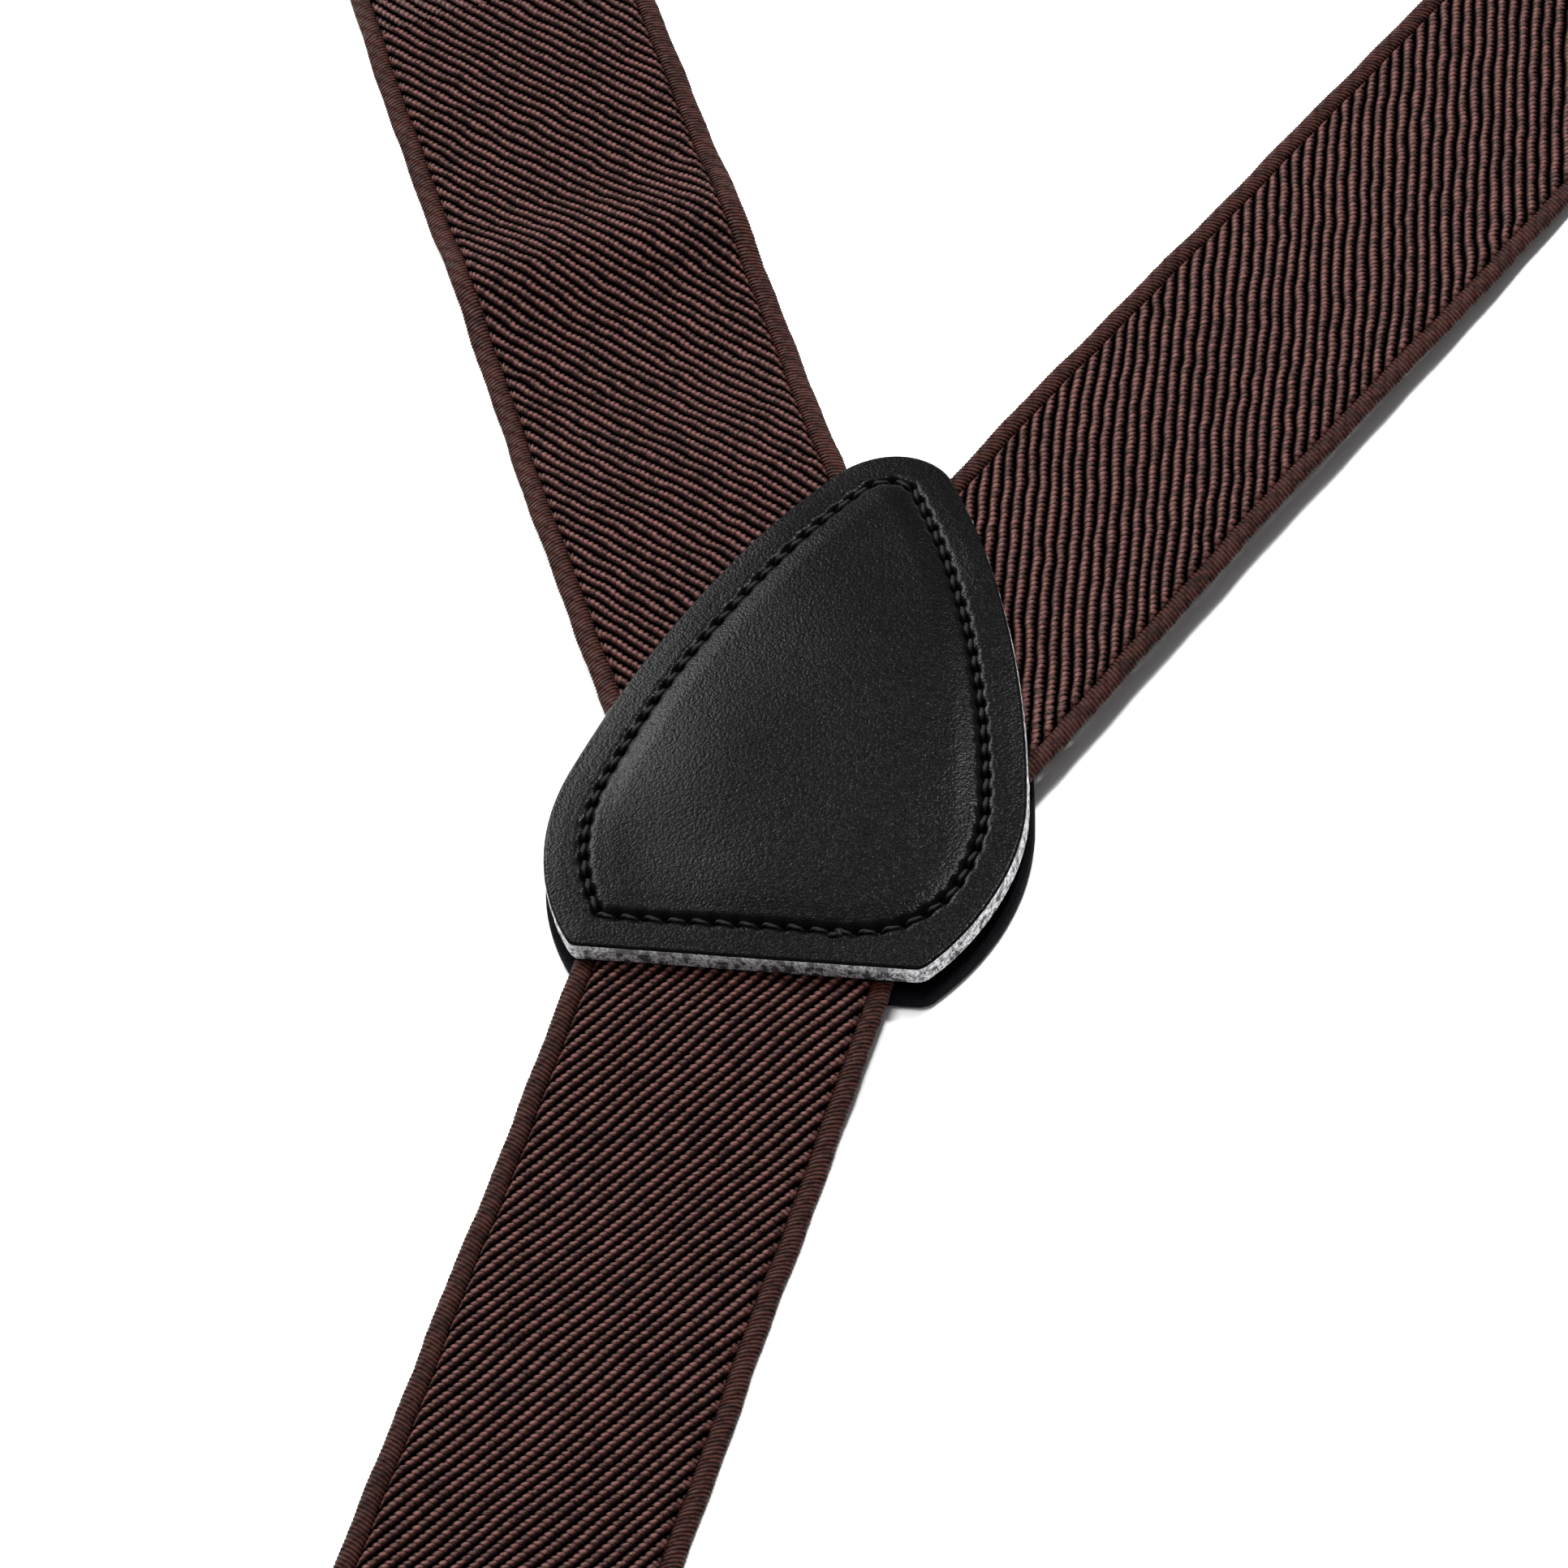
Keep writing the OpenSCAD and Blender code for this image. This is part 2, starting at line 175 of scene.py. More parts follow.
@dataclass
class Shell:
    """Vertices, faces and marks of a mesh that is being put together, in millimetres."""

    points: Array = field(default_factory=lambda: np.zeros((0, 3)))
    faces: list[Array] = field(default_factory=list)
    slots: list[Array] = field(default_factory=list)
    uv: Array = field(default_factory=lambda: np.zeros((0, 2)))

    def add(self, points: Array, groups: list[Array], uv: Array | None = None,
            slots: tuple[int, ...] | None = None) -> None:
        """Append vertices and their faces.

        Args:
            points: Vertices, with their three numbers along the last axis.
            groups: Groups of faces, each an array with one row of vertex numbers for a face.
            uv: Texture place of each vertex, or None for zeros.
            slots: Material slot of each group, or None where all of them have the first one.
        """
        start = len(self.points)
        points = points.reshape(-1, 3)
        self.points = np.vstack([self.points, points])
        self.uv = np.vstack([self.uv, np.zeros((len(points), 2)) if uv is None else uv.reshape(-1, 2)])
        for group, slot in zip(groups, slots or (0,) * len(groups)):
            self.faces.append(group + start)
            self.slots.append(np.full(len(group), slot, np.int32))

    def build(self, name: str, materials: list[bpy.types.Material],
              placed: Matrix | None = None) -> bpy.types.Object:
        """Make the Blender object, with its place in its mesh and its origin at the frame's.

        Args:
            name: Name of the piece.
            materials: Materials, in the order of the slots.
            placed: Turn and shift out of a strap's own frame, in millimetres, or None.

        Returns:
            The new object, with smooth faces and a UV map named "cloth".
        """
        mesh = bpy.data.meshes.new(name)
        points = self.points
        if placed is not None:
            turn = np.array(placed)
            points = points @ turn[:3, :3].T + turn[:3, 3]
        corners = np.concatenate([group.ravel() for group in self.faces]).astype(np.int32)
        sizes = np.concatenate([np.full(len(group), group.shape[1]) for group in self.faces])
        mesh.vertices.add(len(points))
        mesh.vertices.foreach_set("co", (points * MM).astype(np.float32).ravel())
        mesh.loops.add(len(corners))
        mesh.loops.foreach_set("vertex_index", corners)
        mesh.polygons.add(len(sizes))
        mesh.polygons.foreach_set("loop_start", np.concatenate([[0], np.cumsum(sizes)[:-1]]))
        mesh.polygons.foreach_set("loop_total", sizes)
        mesh.polygons.foreach_set("material_index", np.concatenate(self.slots))
        mesh.polygons.foreach_set("use_smooth", np.ones(len(sizes), bool))
        layer = mesh.uv_layers.new(name="cloth")
        layer.data.foreach_set("uv", self.uv[corners].astype(np.float32).ravel())
        mesh.update(calc_edges=True)
        mesh.validate()
        for material in materials:
            mesh.materials.append(material)
        piece = bpy.data.objects.new(name, mesh)
        bpy.context.scene.collection.objects.link(piece)
        return piece


def close_up(piece: bpy.types.Object, merge: bool = True, gap: float = 1e-7) -> None:
    """Turn a piece's faces outwards, and first close it where its rings meet or stay open.

    Args:
        piece: The piece.
        merge: Whether doubled vertices are merged and open rings are filled.
        gap: Distance within which vertices are doubles, in metres.
    """
    work = bmesh.new()
    work.from_mesh(piece.data)
    if merge:
        bmesh.ops.remove_doubles(work, verts=work.verts, dist=gap)
        bmesh.ops.holes_fill(work, edges=[e for e in work.edges if e.is_boundary], sides=0)
    bmesh.ops.recalc_face_normals(work, faces=work.faces)
    work.to_mesh(piece.data)
    work.free()


# ---------------------------------------------------------------- finishes


class Nodes:
    """Thin writer for a material's nodes."""

    def __init__(self, name: str) -> None:
        """Start an empty material with a Principled shader and an output.

        Args:
            name: Name of the material.
        """
        self.material = bpy.data.materials.new(name)
        self.material.use_nodes = True
        self.tree = self.material.node_tree
        self.tree.nodes.clear()
        self.shader = self.tree.nodes.new("ShaderNodeBsdfPrincipled")
        out = self.tree.nodes.new("ShaderNodeOutputMaterial")
        self.tree.links.new(self.shader.outputs[0], out.inputs[0])

    def link(self, value: Value, socket: Socket) -> None:
        """Put a value into a socket.

        Args:
            value: A number, a colour or another node's output.
            socket: Where it goes.
        """
        if isinstance(value, Socket):
            self.tree.links.new(value, socket)
        else:
            socket.default_value = value

    def math(self, operation: str, a: Value, b: Value = 0.0, c: Value = 0.0) -> Socket:
        """Add a Math node.

        Args:
            operation: Its operation, by Blender's name.
            a: First value.
            b: Second value, where it has one.
            c: Third value, where it has one.

        Returns:
            Its output.
        """
        node = self.tree.nodes.new("ShaderNodeMath")
        node.operation = operation
        for value, socket in zip((a, b, c), node.inputs):
            self.link(value, socket)
        return node.outputs[0]

    def scaled(self, value: Value, factor: Value, offset: Value = 0.0) -> Socket:
        """Return value * factor + offset."""
        return self.math("MULTIPLY_ADD", value, factor, offset)

    def times(self, a: Value, b: Value) -> Socket:
        """Return a * b."""
        return self.math("MULTIPLY", a, b)

    def mix(self, factor: Value, a: Value, b: Value) -> Socket:
        """Mix two colours.

        Args:
            factor: Share of the second colour.
            a: First colour.
            b: Second colour.

        Returns:
            The mixed colour.
        """
        node = self.tree.nodes.new("ShaderNodeMix")
        node.data_type = "RGBA"
        for value, socket in zip((factor, a, b), (node.inputs[0], node.inputs[6], node.inputs[7])):
            self.link(value, socket)
        return node.outputs[2]

    def ramp(self, factor: Value, stops: list[tuple[float, Colour]]) -> Socket:
        """Add a colour ramp.

        Args:
            factor: Where it is read.
            stops: Place and colour of each stop.

        Returns:
            Its colour.
        """
        node = self.tree.nodes.new("ShaderNodeValToRGB")
        elements = node.color_ramp.elements
        while len(elements) < len(stops):
            elements.new(0.5)
        for element, (place, colour) in zip(elements, stops):
            element.position = place
            element.color = colour
        self.link(factor, node.inputs[0])
        return node.outputs[0]

    def noise(self, scale: float, detail: float = 3.0, vector: Socket | None = None,
              roughness: float = 0.55) -> Socket:
        """Add a noise texture.

        Args:
            scale: Cells per metre, or per unit of the vector.
            detail: Number of finer layers.
            vector: Where it is read, or None for object coordinates.
            roughness: Strength of each finer layer.

        Returns:
            Its value, between 0 and 1.
        """
        node = self.tree.nodes.new("ShaderNodeTexNoise")
        node.inputs["Scale"].default_value = scale
        node.inputs["Detail"].default_value = detail
        node.inputs["Roughness"].default_value = roughness
        self.link(self.place() if vector is None else vector, node.inputs["Vector"])
        return node.outputs["Fac"]

    def cells(self, scale: float, feature: str = "F1") -> Socket:
        """Add a Voronoi texture on object coordinates.

        Args:
            scale: Cells per metre.
            feature: Which distance it measures, by Blender's name.

        Returns:
            The distance.
        """
        node = self.tree.nodes.new("ShaderNodeTexVoronoi")
        node.feature = feature
        node.inputs["Scale"].default_value = scale
        self.link(self.place(), node.inputs["Vector"])
        return node.outputs["Distance"]

    def random(self, vector: Socket) -> Socket:
        """Add white noise.

        Args:
            vector: Where it is read.

        Returns:
            A random number that is the same wherever the vector's X and Y are.
        """
        node = self.tree.nodes.new("ShaderNodeTexWhiteNoise")
        node.noise_dimensions = "2D"
        self.link(vector, node.inputs["Vector"])
        return node.outputs["Value"]

    def place(self) -> Socket:
        """Return the object coordinates."""
        return self.tree.nodes.new("ShaderNodeTexCoord").outputs["Object"]

    def cloth(self) -> tuple[Socket, Socket]:
        """Read the piece's own UV map.

        Returns:
            Its two numbers: on webbing, the metres across it and along it.
        """
        node = self.tree.nodes.new("ShaderNodeUVMap")
        node.uv_map = "cloth"
        split = self.tree.nodes.new("ShaderNodeSeparateXYZ")
        self.link(node.outputs[0], split.inputs[0])
        return split.outputs[0], split.outputs[1]

    def join(self, x: Value, y: Value) -> Socket:
        """Join two numbers.

        Args:
            x: First number.
            y: Second number.

        Returns:
            The vector that they make with a third number of 0.
        """
        node = self.tree.nodes.new("ShaderNodeCombineXYZ")
        self.link(x, node.inputs[0])
        self.link(y, node.inputs[1])
        return node.outputs[0]

    def bump(self, height: Socket, distance: float, strength: float = 1.0) -> Socket:
        """Add a bump.

        Args:
            height: Its relief.
            distance: Height in metres of a relief of 1.
            strength: Share of it that shows.

        Returns:
            The bumped normal.
        """
        node = self.tree.nodes.new("ShaderNodeBump")
        node.inputs["Strength"].default_value = strength
        node.inputs["Distance"].default_value = distance
        self.link(height, node.inputs["Height"])
        return node.outputs[0]

    def dress(self, colour: Value, roughness: Value, normal: Socket | None = None,
              **sockets: Value) -> bpy.types.Material:
        """Fill the shader's sockets and return the material.

        Args:
            colour: Base colour, or the output that gives it.
            roughness: Roughness, or the output that gives it.
            normal: Output of the last bump, or None.
            **sockets: Other sockets by name, with underscores for spaces.

        Returns:
            The finished material.
        """
        self.link(colour, self.shader.inputs["Base Color"])
        self.link(roughness, self.shader.inputs["Roughness"])
        if normal is not None:
            self.link(normal, self.shader.inputs["Normal"])
        for name, value in sockets.items():
            self.link(value, self.shader.inputs[name.replace("_", " ")])
        return self.material


@dataclass(frozen=True)
class Weave:
    """Sizes of the elastic's twill, in millimetres, shared by its mesh and its finish.

    The warp threads' floats step sideways from pick to pick and close up into diagonal ribs.
    A rib is smooth along one side. On the other side its threads stick out as slanted teeth.
    Halves, reaches and steps that are measured across a rib or along it are in pitches of its
    own kind.
    """

    rib_pitch: float = 1.35
    bump_pitch: float = 0.745
    rib_angle: float = 32.0
    smooth_half: float = 0.36
    notch_half: float = 0.11
    tooth_reach: float = 0.36
    tooth_half: float = 0.50
    lay: float = -0.60
    step: float = 0.38
    body_half: float = 15.2
    wrap_pitch: float = 0.55

    def turned(self, slant: int) -> tuple[float, float, float, float]:
        """Work out how the counts of ribs and of bumps grow over the strap.

        Args:
            slant: 1 or -1, the way that the ribs lean.

        Returns:
            Ribs per millimetre across and along the strap, then bumps across and along it.
        """
        t = math.radians(self.rib_angle)
        c, k = math.cos(t), math.sin(t) * slant
        return c / self.rib_pitch, -k / self.rib_pitch, k / self.bump_pitch, c / self.bump_pitch

    def relief(self, across: Array, along: Array, slant: int) -> Array:
        """Height of the ribs, from 0 in the gaps to 1 on the bumps' crowns.

        Args:
            across: Distance from the strap's middle.
            along: Distance along the strap.
            slant: 1 or -1, the way that the ribs lean.

        Returns:
            The rib's round section, whose toothed side is narrow in a notch and wide at a
            tooth. The teeth start at another place on each rib, and lean.
        """
        a, b, c, d = self.turned(slant)
        ribs = across * a + along * b
        near = wave(ribs, 1.0)
        tooth = dome(wave(across * c + along * d + self.step * np.round(ribs) + self.lay * near, 1.0),
                     self.tooth_half)
        half = np.where(near > 0, self.notch_half + self.tooth_reach * tooth, self.smooth_half)
        return dome(near / half, 1.0) * (0.70 + 0.30 * tooth)


@dataclass(frozen=True)
class WebbingFinish:
    """Dark brown elastic twill with wrapped, redder edges."""

    name: str
    slant: int
    weave: Weave = Weave()
    # The crown's colour is the thread's brown lightened as a painted highlight; the flank's and the gap's
    # colours are painted shade
    crown: Colour = (0.113, 0.0465, 0.0405, 1)
    shaded_flank: Colour = (0.0215, 0.0066, 0.0054, 1)
    gap: Colour = (0.0002, 0.0001, 0.0001, 1)
    edge: Colour = (0.055, 0.0152, 0.0108, 1)
    # Colour between the rims' turns of thread: painted shade
    edge_gap_shade: Colour = (0.006, 0.0018, 0.0014, 1)
    gloss: float = 0.22
    gloss_tint: Colour = (0.9, 0.72, 0.68, 1)
    relief: float = 0.16

    def make(self) -> bpy.types.Material:
        """Build the material: the mesh's own rule for ribs and teeth, with fibre detail, painted shade and
        painted highlights.

        Returns:
            The new material.
        """
        n = Nodes(self.name)
        across, along = n.cloth()
        hump, ribs, laps, rib, thread = self._twill(n, across, along)
        # Filaments of each thread, across the rib, and loose fibres
        filament = n.noise(1.0, 2.0, n.join(n.times(laps, 3.2), n.times(ribs, 1.6)))
        fibre = n.noise(5200, 2.0)
        # Specks: the fibres' own tone, and bright ones that stand as painted glints on the threads
        fibre_speck_and_glint = n.noise(2300, 3.0, roughness=0.7)
        tint = n.scaled(n.random(n.join(rib, thread)), 1.1, 0.45)
        shade = n.times(tint, n.scaled(n.noise(70, 2.0), 0.5, 0.75))
        shade = n.times(shade, n.scaled(filament, 1.9, 0.05))
        shade = n.times(shade, n.math("MAXIMUM", n.scaled(fibre_speck_and_glint, 4.4, -1.2), 0.1))
        # Painted light by rib height: painted shade, black in the gaps and darker down the flanks, and a
        # painted highlight on the crowns
        body = n.ramp(n.math("POWER", hump, 1.2), [
            (0.0, self.gap), (0.20, self.gap), (0.66, self.shaded_flank), (1.0, self.crown),
        ])
        wrapped = self._wrap(n, across, along)
        outer = n.math("GREATER_THAN", n.math("ABSOLUTE", across), self.weave.body_half * MM)
        # The rims: redder thread, with painted shade between its turns
        colour = n.mix(outer, body, n.mix(wrapped, self.edge_gap_shade, self.edge))
        colour = n.mix(n.times(shade, 0.8), BLACK, colour)
        height = n.scaled(fibre, 0.2, n.scaled(filament, 0.45, hump))
        rim_height = n.scaled(fibre, 0.5, wrapped)
        height = n.scaled(outer, n.math("SUBTRACT", rim_height, height), height)
        return n.dress(
            colour, n.scaled(hump, -0.45, 0.9), n.bump(height, self.relief * MM),
            Specular_IOR_Level=n.times(n.math("MAXIMUM", hump, outer), self.gloss),
            Specular_Tint=self.gloss_tint,
        )

    def _twill(self, n: Nodes, across: Socket, along: Socket) -> tuple[Socket, ...]:
        """Repeat Weave.relief in nodes.

        Args:
            n: The material's writer.
            across: Metres across the webbing.
            along: Metres along it.

        Returns:
            Height of the ribs, counts of ribs and of bumps, and their nearest whole numbers.
        """
        w = self.weave
        a, b, c, d = (k / MM for k in w.turned(self.slant))
        ribs = n.scaled(across, a, n.times(along, b))
        rib = n.math("ROUND", ribs)
        near = n.math("SUBTRACT", ribs, rib)
        laps = n.scaled(across, c, n.times(along, d))
        laps = n.scaled(rib, w.step, n.scaled(near, w.lay, laps))
        thread = n.math("ROUND", laps)
        tooth = self._dome(n, n.math("SUBTRACT", laps, thread), w.tooth_half)
        toothed = n.scaled(tooth, w.tooth_reach, w.notch_half - w.smooth_half)
        half = n.scaled(toothed, n.math("GREATER_THAN", near, 0.0), w.smooth_half)
        section = self._dome(n, n.math("DIVIDE", near, half), 1.0)
        return n.times(section, n.scaled(tooth, 0.40, 0.60)), ribs, laps, rib, thread

    def _wrap(self, n: Nodes, across: Socket, along: Socket) -> Socket:
        """Wind the rims' thread.

        Args:
            n: The material's writer.
            across: Metres across the webbing.
            along: Metres along it.

        Returns:
            0 between the turns and 1 on them: a sine of the distance along a slanted line.
        """
        turned = n.scaled(n.math("ABSOLUTE", across), 0.45, along)
        wind = n.math("SINE", n.times(turned, 2 * math.pi / (self.weave.wrap_pitch * MM)))
        return n.scaled(wind, 0.5, 0.5)

    @staticmethod
    def _dome(n: Nodes, t: Socket, half: float) -> Socket:
        """Return the nodes' form of dome(): sqrt(1 - (t / half)^2), and 0 outside."""
        q = n.math("DIVIDE", t, half)
        return n.math("SQRT", n.math("MAXIMUM", n.math("SUBTRACT", 1.0, n.times(q, q)), 0.0))


@dataclass(frozen=True)
class LeatherFinish:
    """Black grained leather, finished smooth."""

    name: str = "yoke leather"
    dark: Colour = (0.0005, 0.0005, 0.0006, 1)
    light: Colour = (0.0026, 0.0026, 0.0027, 1)
    # Colour of the seam's groove and stitch holes: painted shade
    seam: Colour = (0.0006, 0.0006, 0.0007, 1)
    relief: float = 0.046
    gloss: float = 0.068

    def make(self) -> bpy.types.Material:
        """Build pebbled grain from two sizes of cells, with fine creases, and painted shade that blackens
        the seam's groove and stitch holes.

        Returns:
            The new material.
        """
        n = Nodes(self.name)
        grain = n.cells(3300, "SMOOTH_F1")
        crease = n.noise(2900, 3.0)
        height = n.scaled(grain, -0.9, n.times(crease, 0.7))
        height = n.scaled(n.cells(5400), -0.4, height)
        tone = n.scaled(grain, 0.8, n.times(n.noise(300, 2.0), 0.4))
        groove, hole = n.cloth()
        # Painted shade: the seam's groove and stitch holes take the seam colour
        seam_shade_share = n.math("MINIMUM", n.math("ADD", groove, hole), 1.0)
        colour = n.mix(seam_shade_share, n.mix(tone, self.light, self.dark), self.seam)
        return n.dress(colour, n.scaled(crease, 0.26, 0.14), n.bump(height, self.relief * MM),
                       Specular_IOR_Level=self.gloss)


@dataclass(frozen=True)
class CutEdgeFinish:
    """Raw cut edge of leather: fibrous, mottled grey."""

    name: str = "cut leather edge"
    light: Colour = (0.75, 0.75, 0.77, 1)
    dark: Colour = (0.070, 0.070, 0.075, 1)
    relief: float = 0.12

    def make(self) -> bpy.types.Material:
        """Build fibres as a fine noise, broken by dark flecks.

        Returns:
            The new material.
        """
        n = Nodes(self.name)
        fibre = n.noise(2600, 4.0)
        fleck = n.math("GREATER_THAN", n.noise(1300, 2.0), 0.57)
        colour = n.mix(fleck, n.ramp(fibre, [(0.36, self.dark), (0.60, self.light)]), self.dark)
        return n.dress(colour, 0.85, n.bump(fibre, self.relief * MM), Specular_IOR_Level=0.2)


@dataclass(frozen=True)
class BackLeatherFinish:
    """Back leather, matt and slightly napped, a very dark blue black."""

    name: str = "yoke back leather"
    dark: Colour = (0.0015, 0.0015, 0.0024, 1)
    light: Colour = (0.0060, 0.0060, 0.0095, 1)
    relief: float = 0.25

    def make(self) -> bpy.types.Material:
        """Build a napped surface from two noises.

        Returns:
            The new material.
        """
        n = Nodes(self.name)
        nap = n.noise(2400, 4.0)
        colour = n.mix(n.times(nap, n.noise(160, 2.0)), self.dark, self.light)
        return n.dress(colour, 0.9, n.bump(nap, self.relief * MM), Specular_IOR_Level=0.05,
                       Sheen_Weight=0.02, Sheen_Roughness=0.5)


@dataclass(frozen=True)
class ThreadFinish:
    """Waxed black sewing thread."""

    name: str = "black thread"
    dark: Colour = (0.0008, 0.0008, 0.0009, 1)
    light: Colour = (0.0045, 0.0045, 0.005, 1)

    def make(self) -> bpy.types.Material:
        """Build a thread with fine plies and broken gloss.

        Returns:
            The new material.
        """
        n = Nodes(self.name)
        ply = n.noise(4200, 3.0)
        shade = n.ramp(ply, [(0.3, self.dark), (0.75, self.light)])
        return n.dress(shade, n.scaled(ply, 0.3, 0.45), n.bump(ply, 0.06 * MM), Specular_IOR_Level=0.16)


@dataclass(frozen=True)
class NickelFinish:
    """Nickel plate, polished, with duller patches and fine pits."""

    name: str = "nickel plate"
    dull: Colour = (0.53, 0.51, 0.48, 1)
    bright: Colour = (0.60, 0.58, 0.55, 1)

    def make(self) -> bpy.types.Material:
        """Build a metal whose tone and roughness follow rubbing marks.

        Returns:
            The new material.
        """
        n = Nodes(self.name)
        rub = n.noise(260, 4.0)
        tone = n.ramp(rub, [(0.3, self.dull), (0.7, self.bright)])
        pits = n.bump(n.noise(3000, 2.0), 0.01 * MM, 0.4)
        return n.dress(tone, n.scaled(rub, 0.12, 0.27), pits, Metallic=1.0)


@dataclass(frozen=True)
class PlasticFinish:
    """Moulded black plastic with a fine spark-eroded texture."""

    name: str = "moulded plastic"
    dark: Colour = (0.010, 0.010, 0.011, 1)
    light: Colour = (0.028, 0.028, 0.030, 1)

    def make(self) -> bpy.types.Material:
        """Build a matt plastic whose tone and roughness follow a fine grain.

        Returns:
            The new material.
        """
        n = Nodes(self.name)
        grain = n.noise(3600, 3.0)
        tone = n.ramp(grain, [(0.35, self.dark), (0.8, self.light)])
        return n.dress(tone, n.scaled(grain, 0.2, 0.42), n.bump(grain, 0.04 * MM))


@dataclass(frozen=True)
class Finishes:
    """All the finishes, made once and shared by the pieces."""

    webbing: dict[Side, bpy.types.Material]
    leather: bpy.types.Material
    cut: bpy.types.Material
    lip: bpy.types.Material
    back: bpy.types.Material
    thread: bpy.types.Material
    nickel: bpy.types.Material
    plastic: bpy.types.Material

    @staticmethod
    def make() -> "Finishes":
        """Build every finish.

        Returns:
            The finishes.
        """
        lip = CutEdgeFinish("cut leather lip", (0.85, 0.85, 0.87, 1), (0.22, 0.22, 0.23, 1))
        return Finishes(
            webbing={s: WebbingFinish(f"{s.value} webbing", s.slant).make() for s in Side},
            leather=LeatherFinish().make(),
            cut=CutEdgeFinish().make(),
            lip=lip.make(),
            back=BackLeatherFinish().make(),
            thread=ThreadFinish().make(),
            nickel=NickelFinish().make(),
            plastic=PlasticFinish().make(),
        )


# ---------------------------------------------------------------- yoke


@dataclass
class Shield:
    """Outline of the yoke's leathers: tangent arcs at point, side, hip and corner.

    A point of the outline is found by its share of the way round, and an inset keeps every
    arc's centre and shortens its radius.
    """

    height: float
    width: float
    tip_r: float = 8.0
    side_r: float = 145.0
    hip_r: float = 30.0
    corner_r: float = 1.8

    def __post_init__(self) -> None:
        """Work out the arcs' centres and the angles where they meet."""
        self.tip = np.array([0.0, self.height / 2 - self.tip_r])
        self.hip = np.array([self.width / 2 - self.hip_r, -self.height / 4])
        a, d = self.side_r - self.tip_r, float(np.linalg.norm(self.hip - self.tip))
        b = self.side_r - self.hip_r
        swing = math.acos((a * a + d * d - b * b) / (2 * a * d))
        way = math.atan2(*(self.hip - self.tip)[::-1]) - swing
        self.side = self.tip + a * np.array([math.cos(way), math.sin(way)])
        self.tip_end = way + math.pi
        self.side_end = math.atan2(*(self.hip - self.side)[::-1])

    def _half(self, inset: float, steps: Array) -> Array:
        """Points of the right half.

        Args:
            inset: Distance inside the edge.
            steps: Number of points on each arc, and then on the lower edge.

        Returns:
            Points from the tip to just short of the lower edge's middle.
        """
        r = max(self.corner_r - inset, 0.4)
        low = -self.height / 2 + inset
        reach = self.hip_r - inset - r
        y = low + r
        corner = np.array([self.hip[0] + math.sqrt(reach**2 - (y - self.hip[1]) ** 2), y])
        hip_end = math.atan2(*(corner - self.hip)[::-1])
        bits = (
            (self.tip, self.tip_r - inset, math.pi / 2, self.tip_end),
            (self.side, self.side_r - inset, self.tip_end, self.side_end),
            (self.hip, self.hip_r - inset, self.side_end, hip_end),
            (corner, r, hip_end, -math.pi / 2),
        )
        runs = []
        for (centre, radius, start, end), count in zip(bits, steps):
            t = start + (end - start) * np.arange(count) / count
            runs.append(centre + radius * np.stack([np.cos(t), np.sin(t)], 1))
        flat = np.linspace(corner[0], 0, steps[4] + 1)[:-1]
        runs.append(np.stack([flat, np.full(len(flat), low)], 1))
        return np.vstack(runs)

    def ring(self, inset: float, pace: float = 0.3) -> Array:
        """Closed outline at an inset, with the same number of points at every inset.

        Args:
            inset: Distance inside the edge; negative is outside.
            pace: Rough distance between points on the edge.

        Returns:
            Points once round, clockwise from the tip.
        """
        # Rough lengths, which only settle how many points each stretch gets
        lengths = (
            self.tip_r * (math.pi / 2 - self.tip_end),
            self.side_r * (self.tip_end - self.side_end),
            self.hip_r * (self.side_end + math.radians(38)),
            self.corner_r * 1.2,
            self.width / 2 - 6,
        )
        steps = np.array([max(4, round(length / pace)) for length in lengths])
        half = self._half(inset, steps)
        bottom = np.array([[0.0, -self.height / 2 + inset]])
        left = half[1:][::-1] * [-1, 1]
        return np.vstack([half, bottom, left])


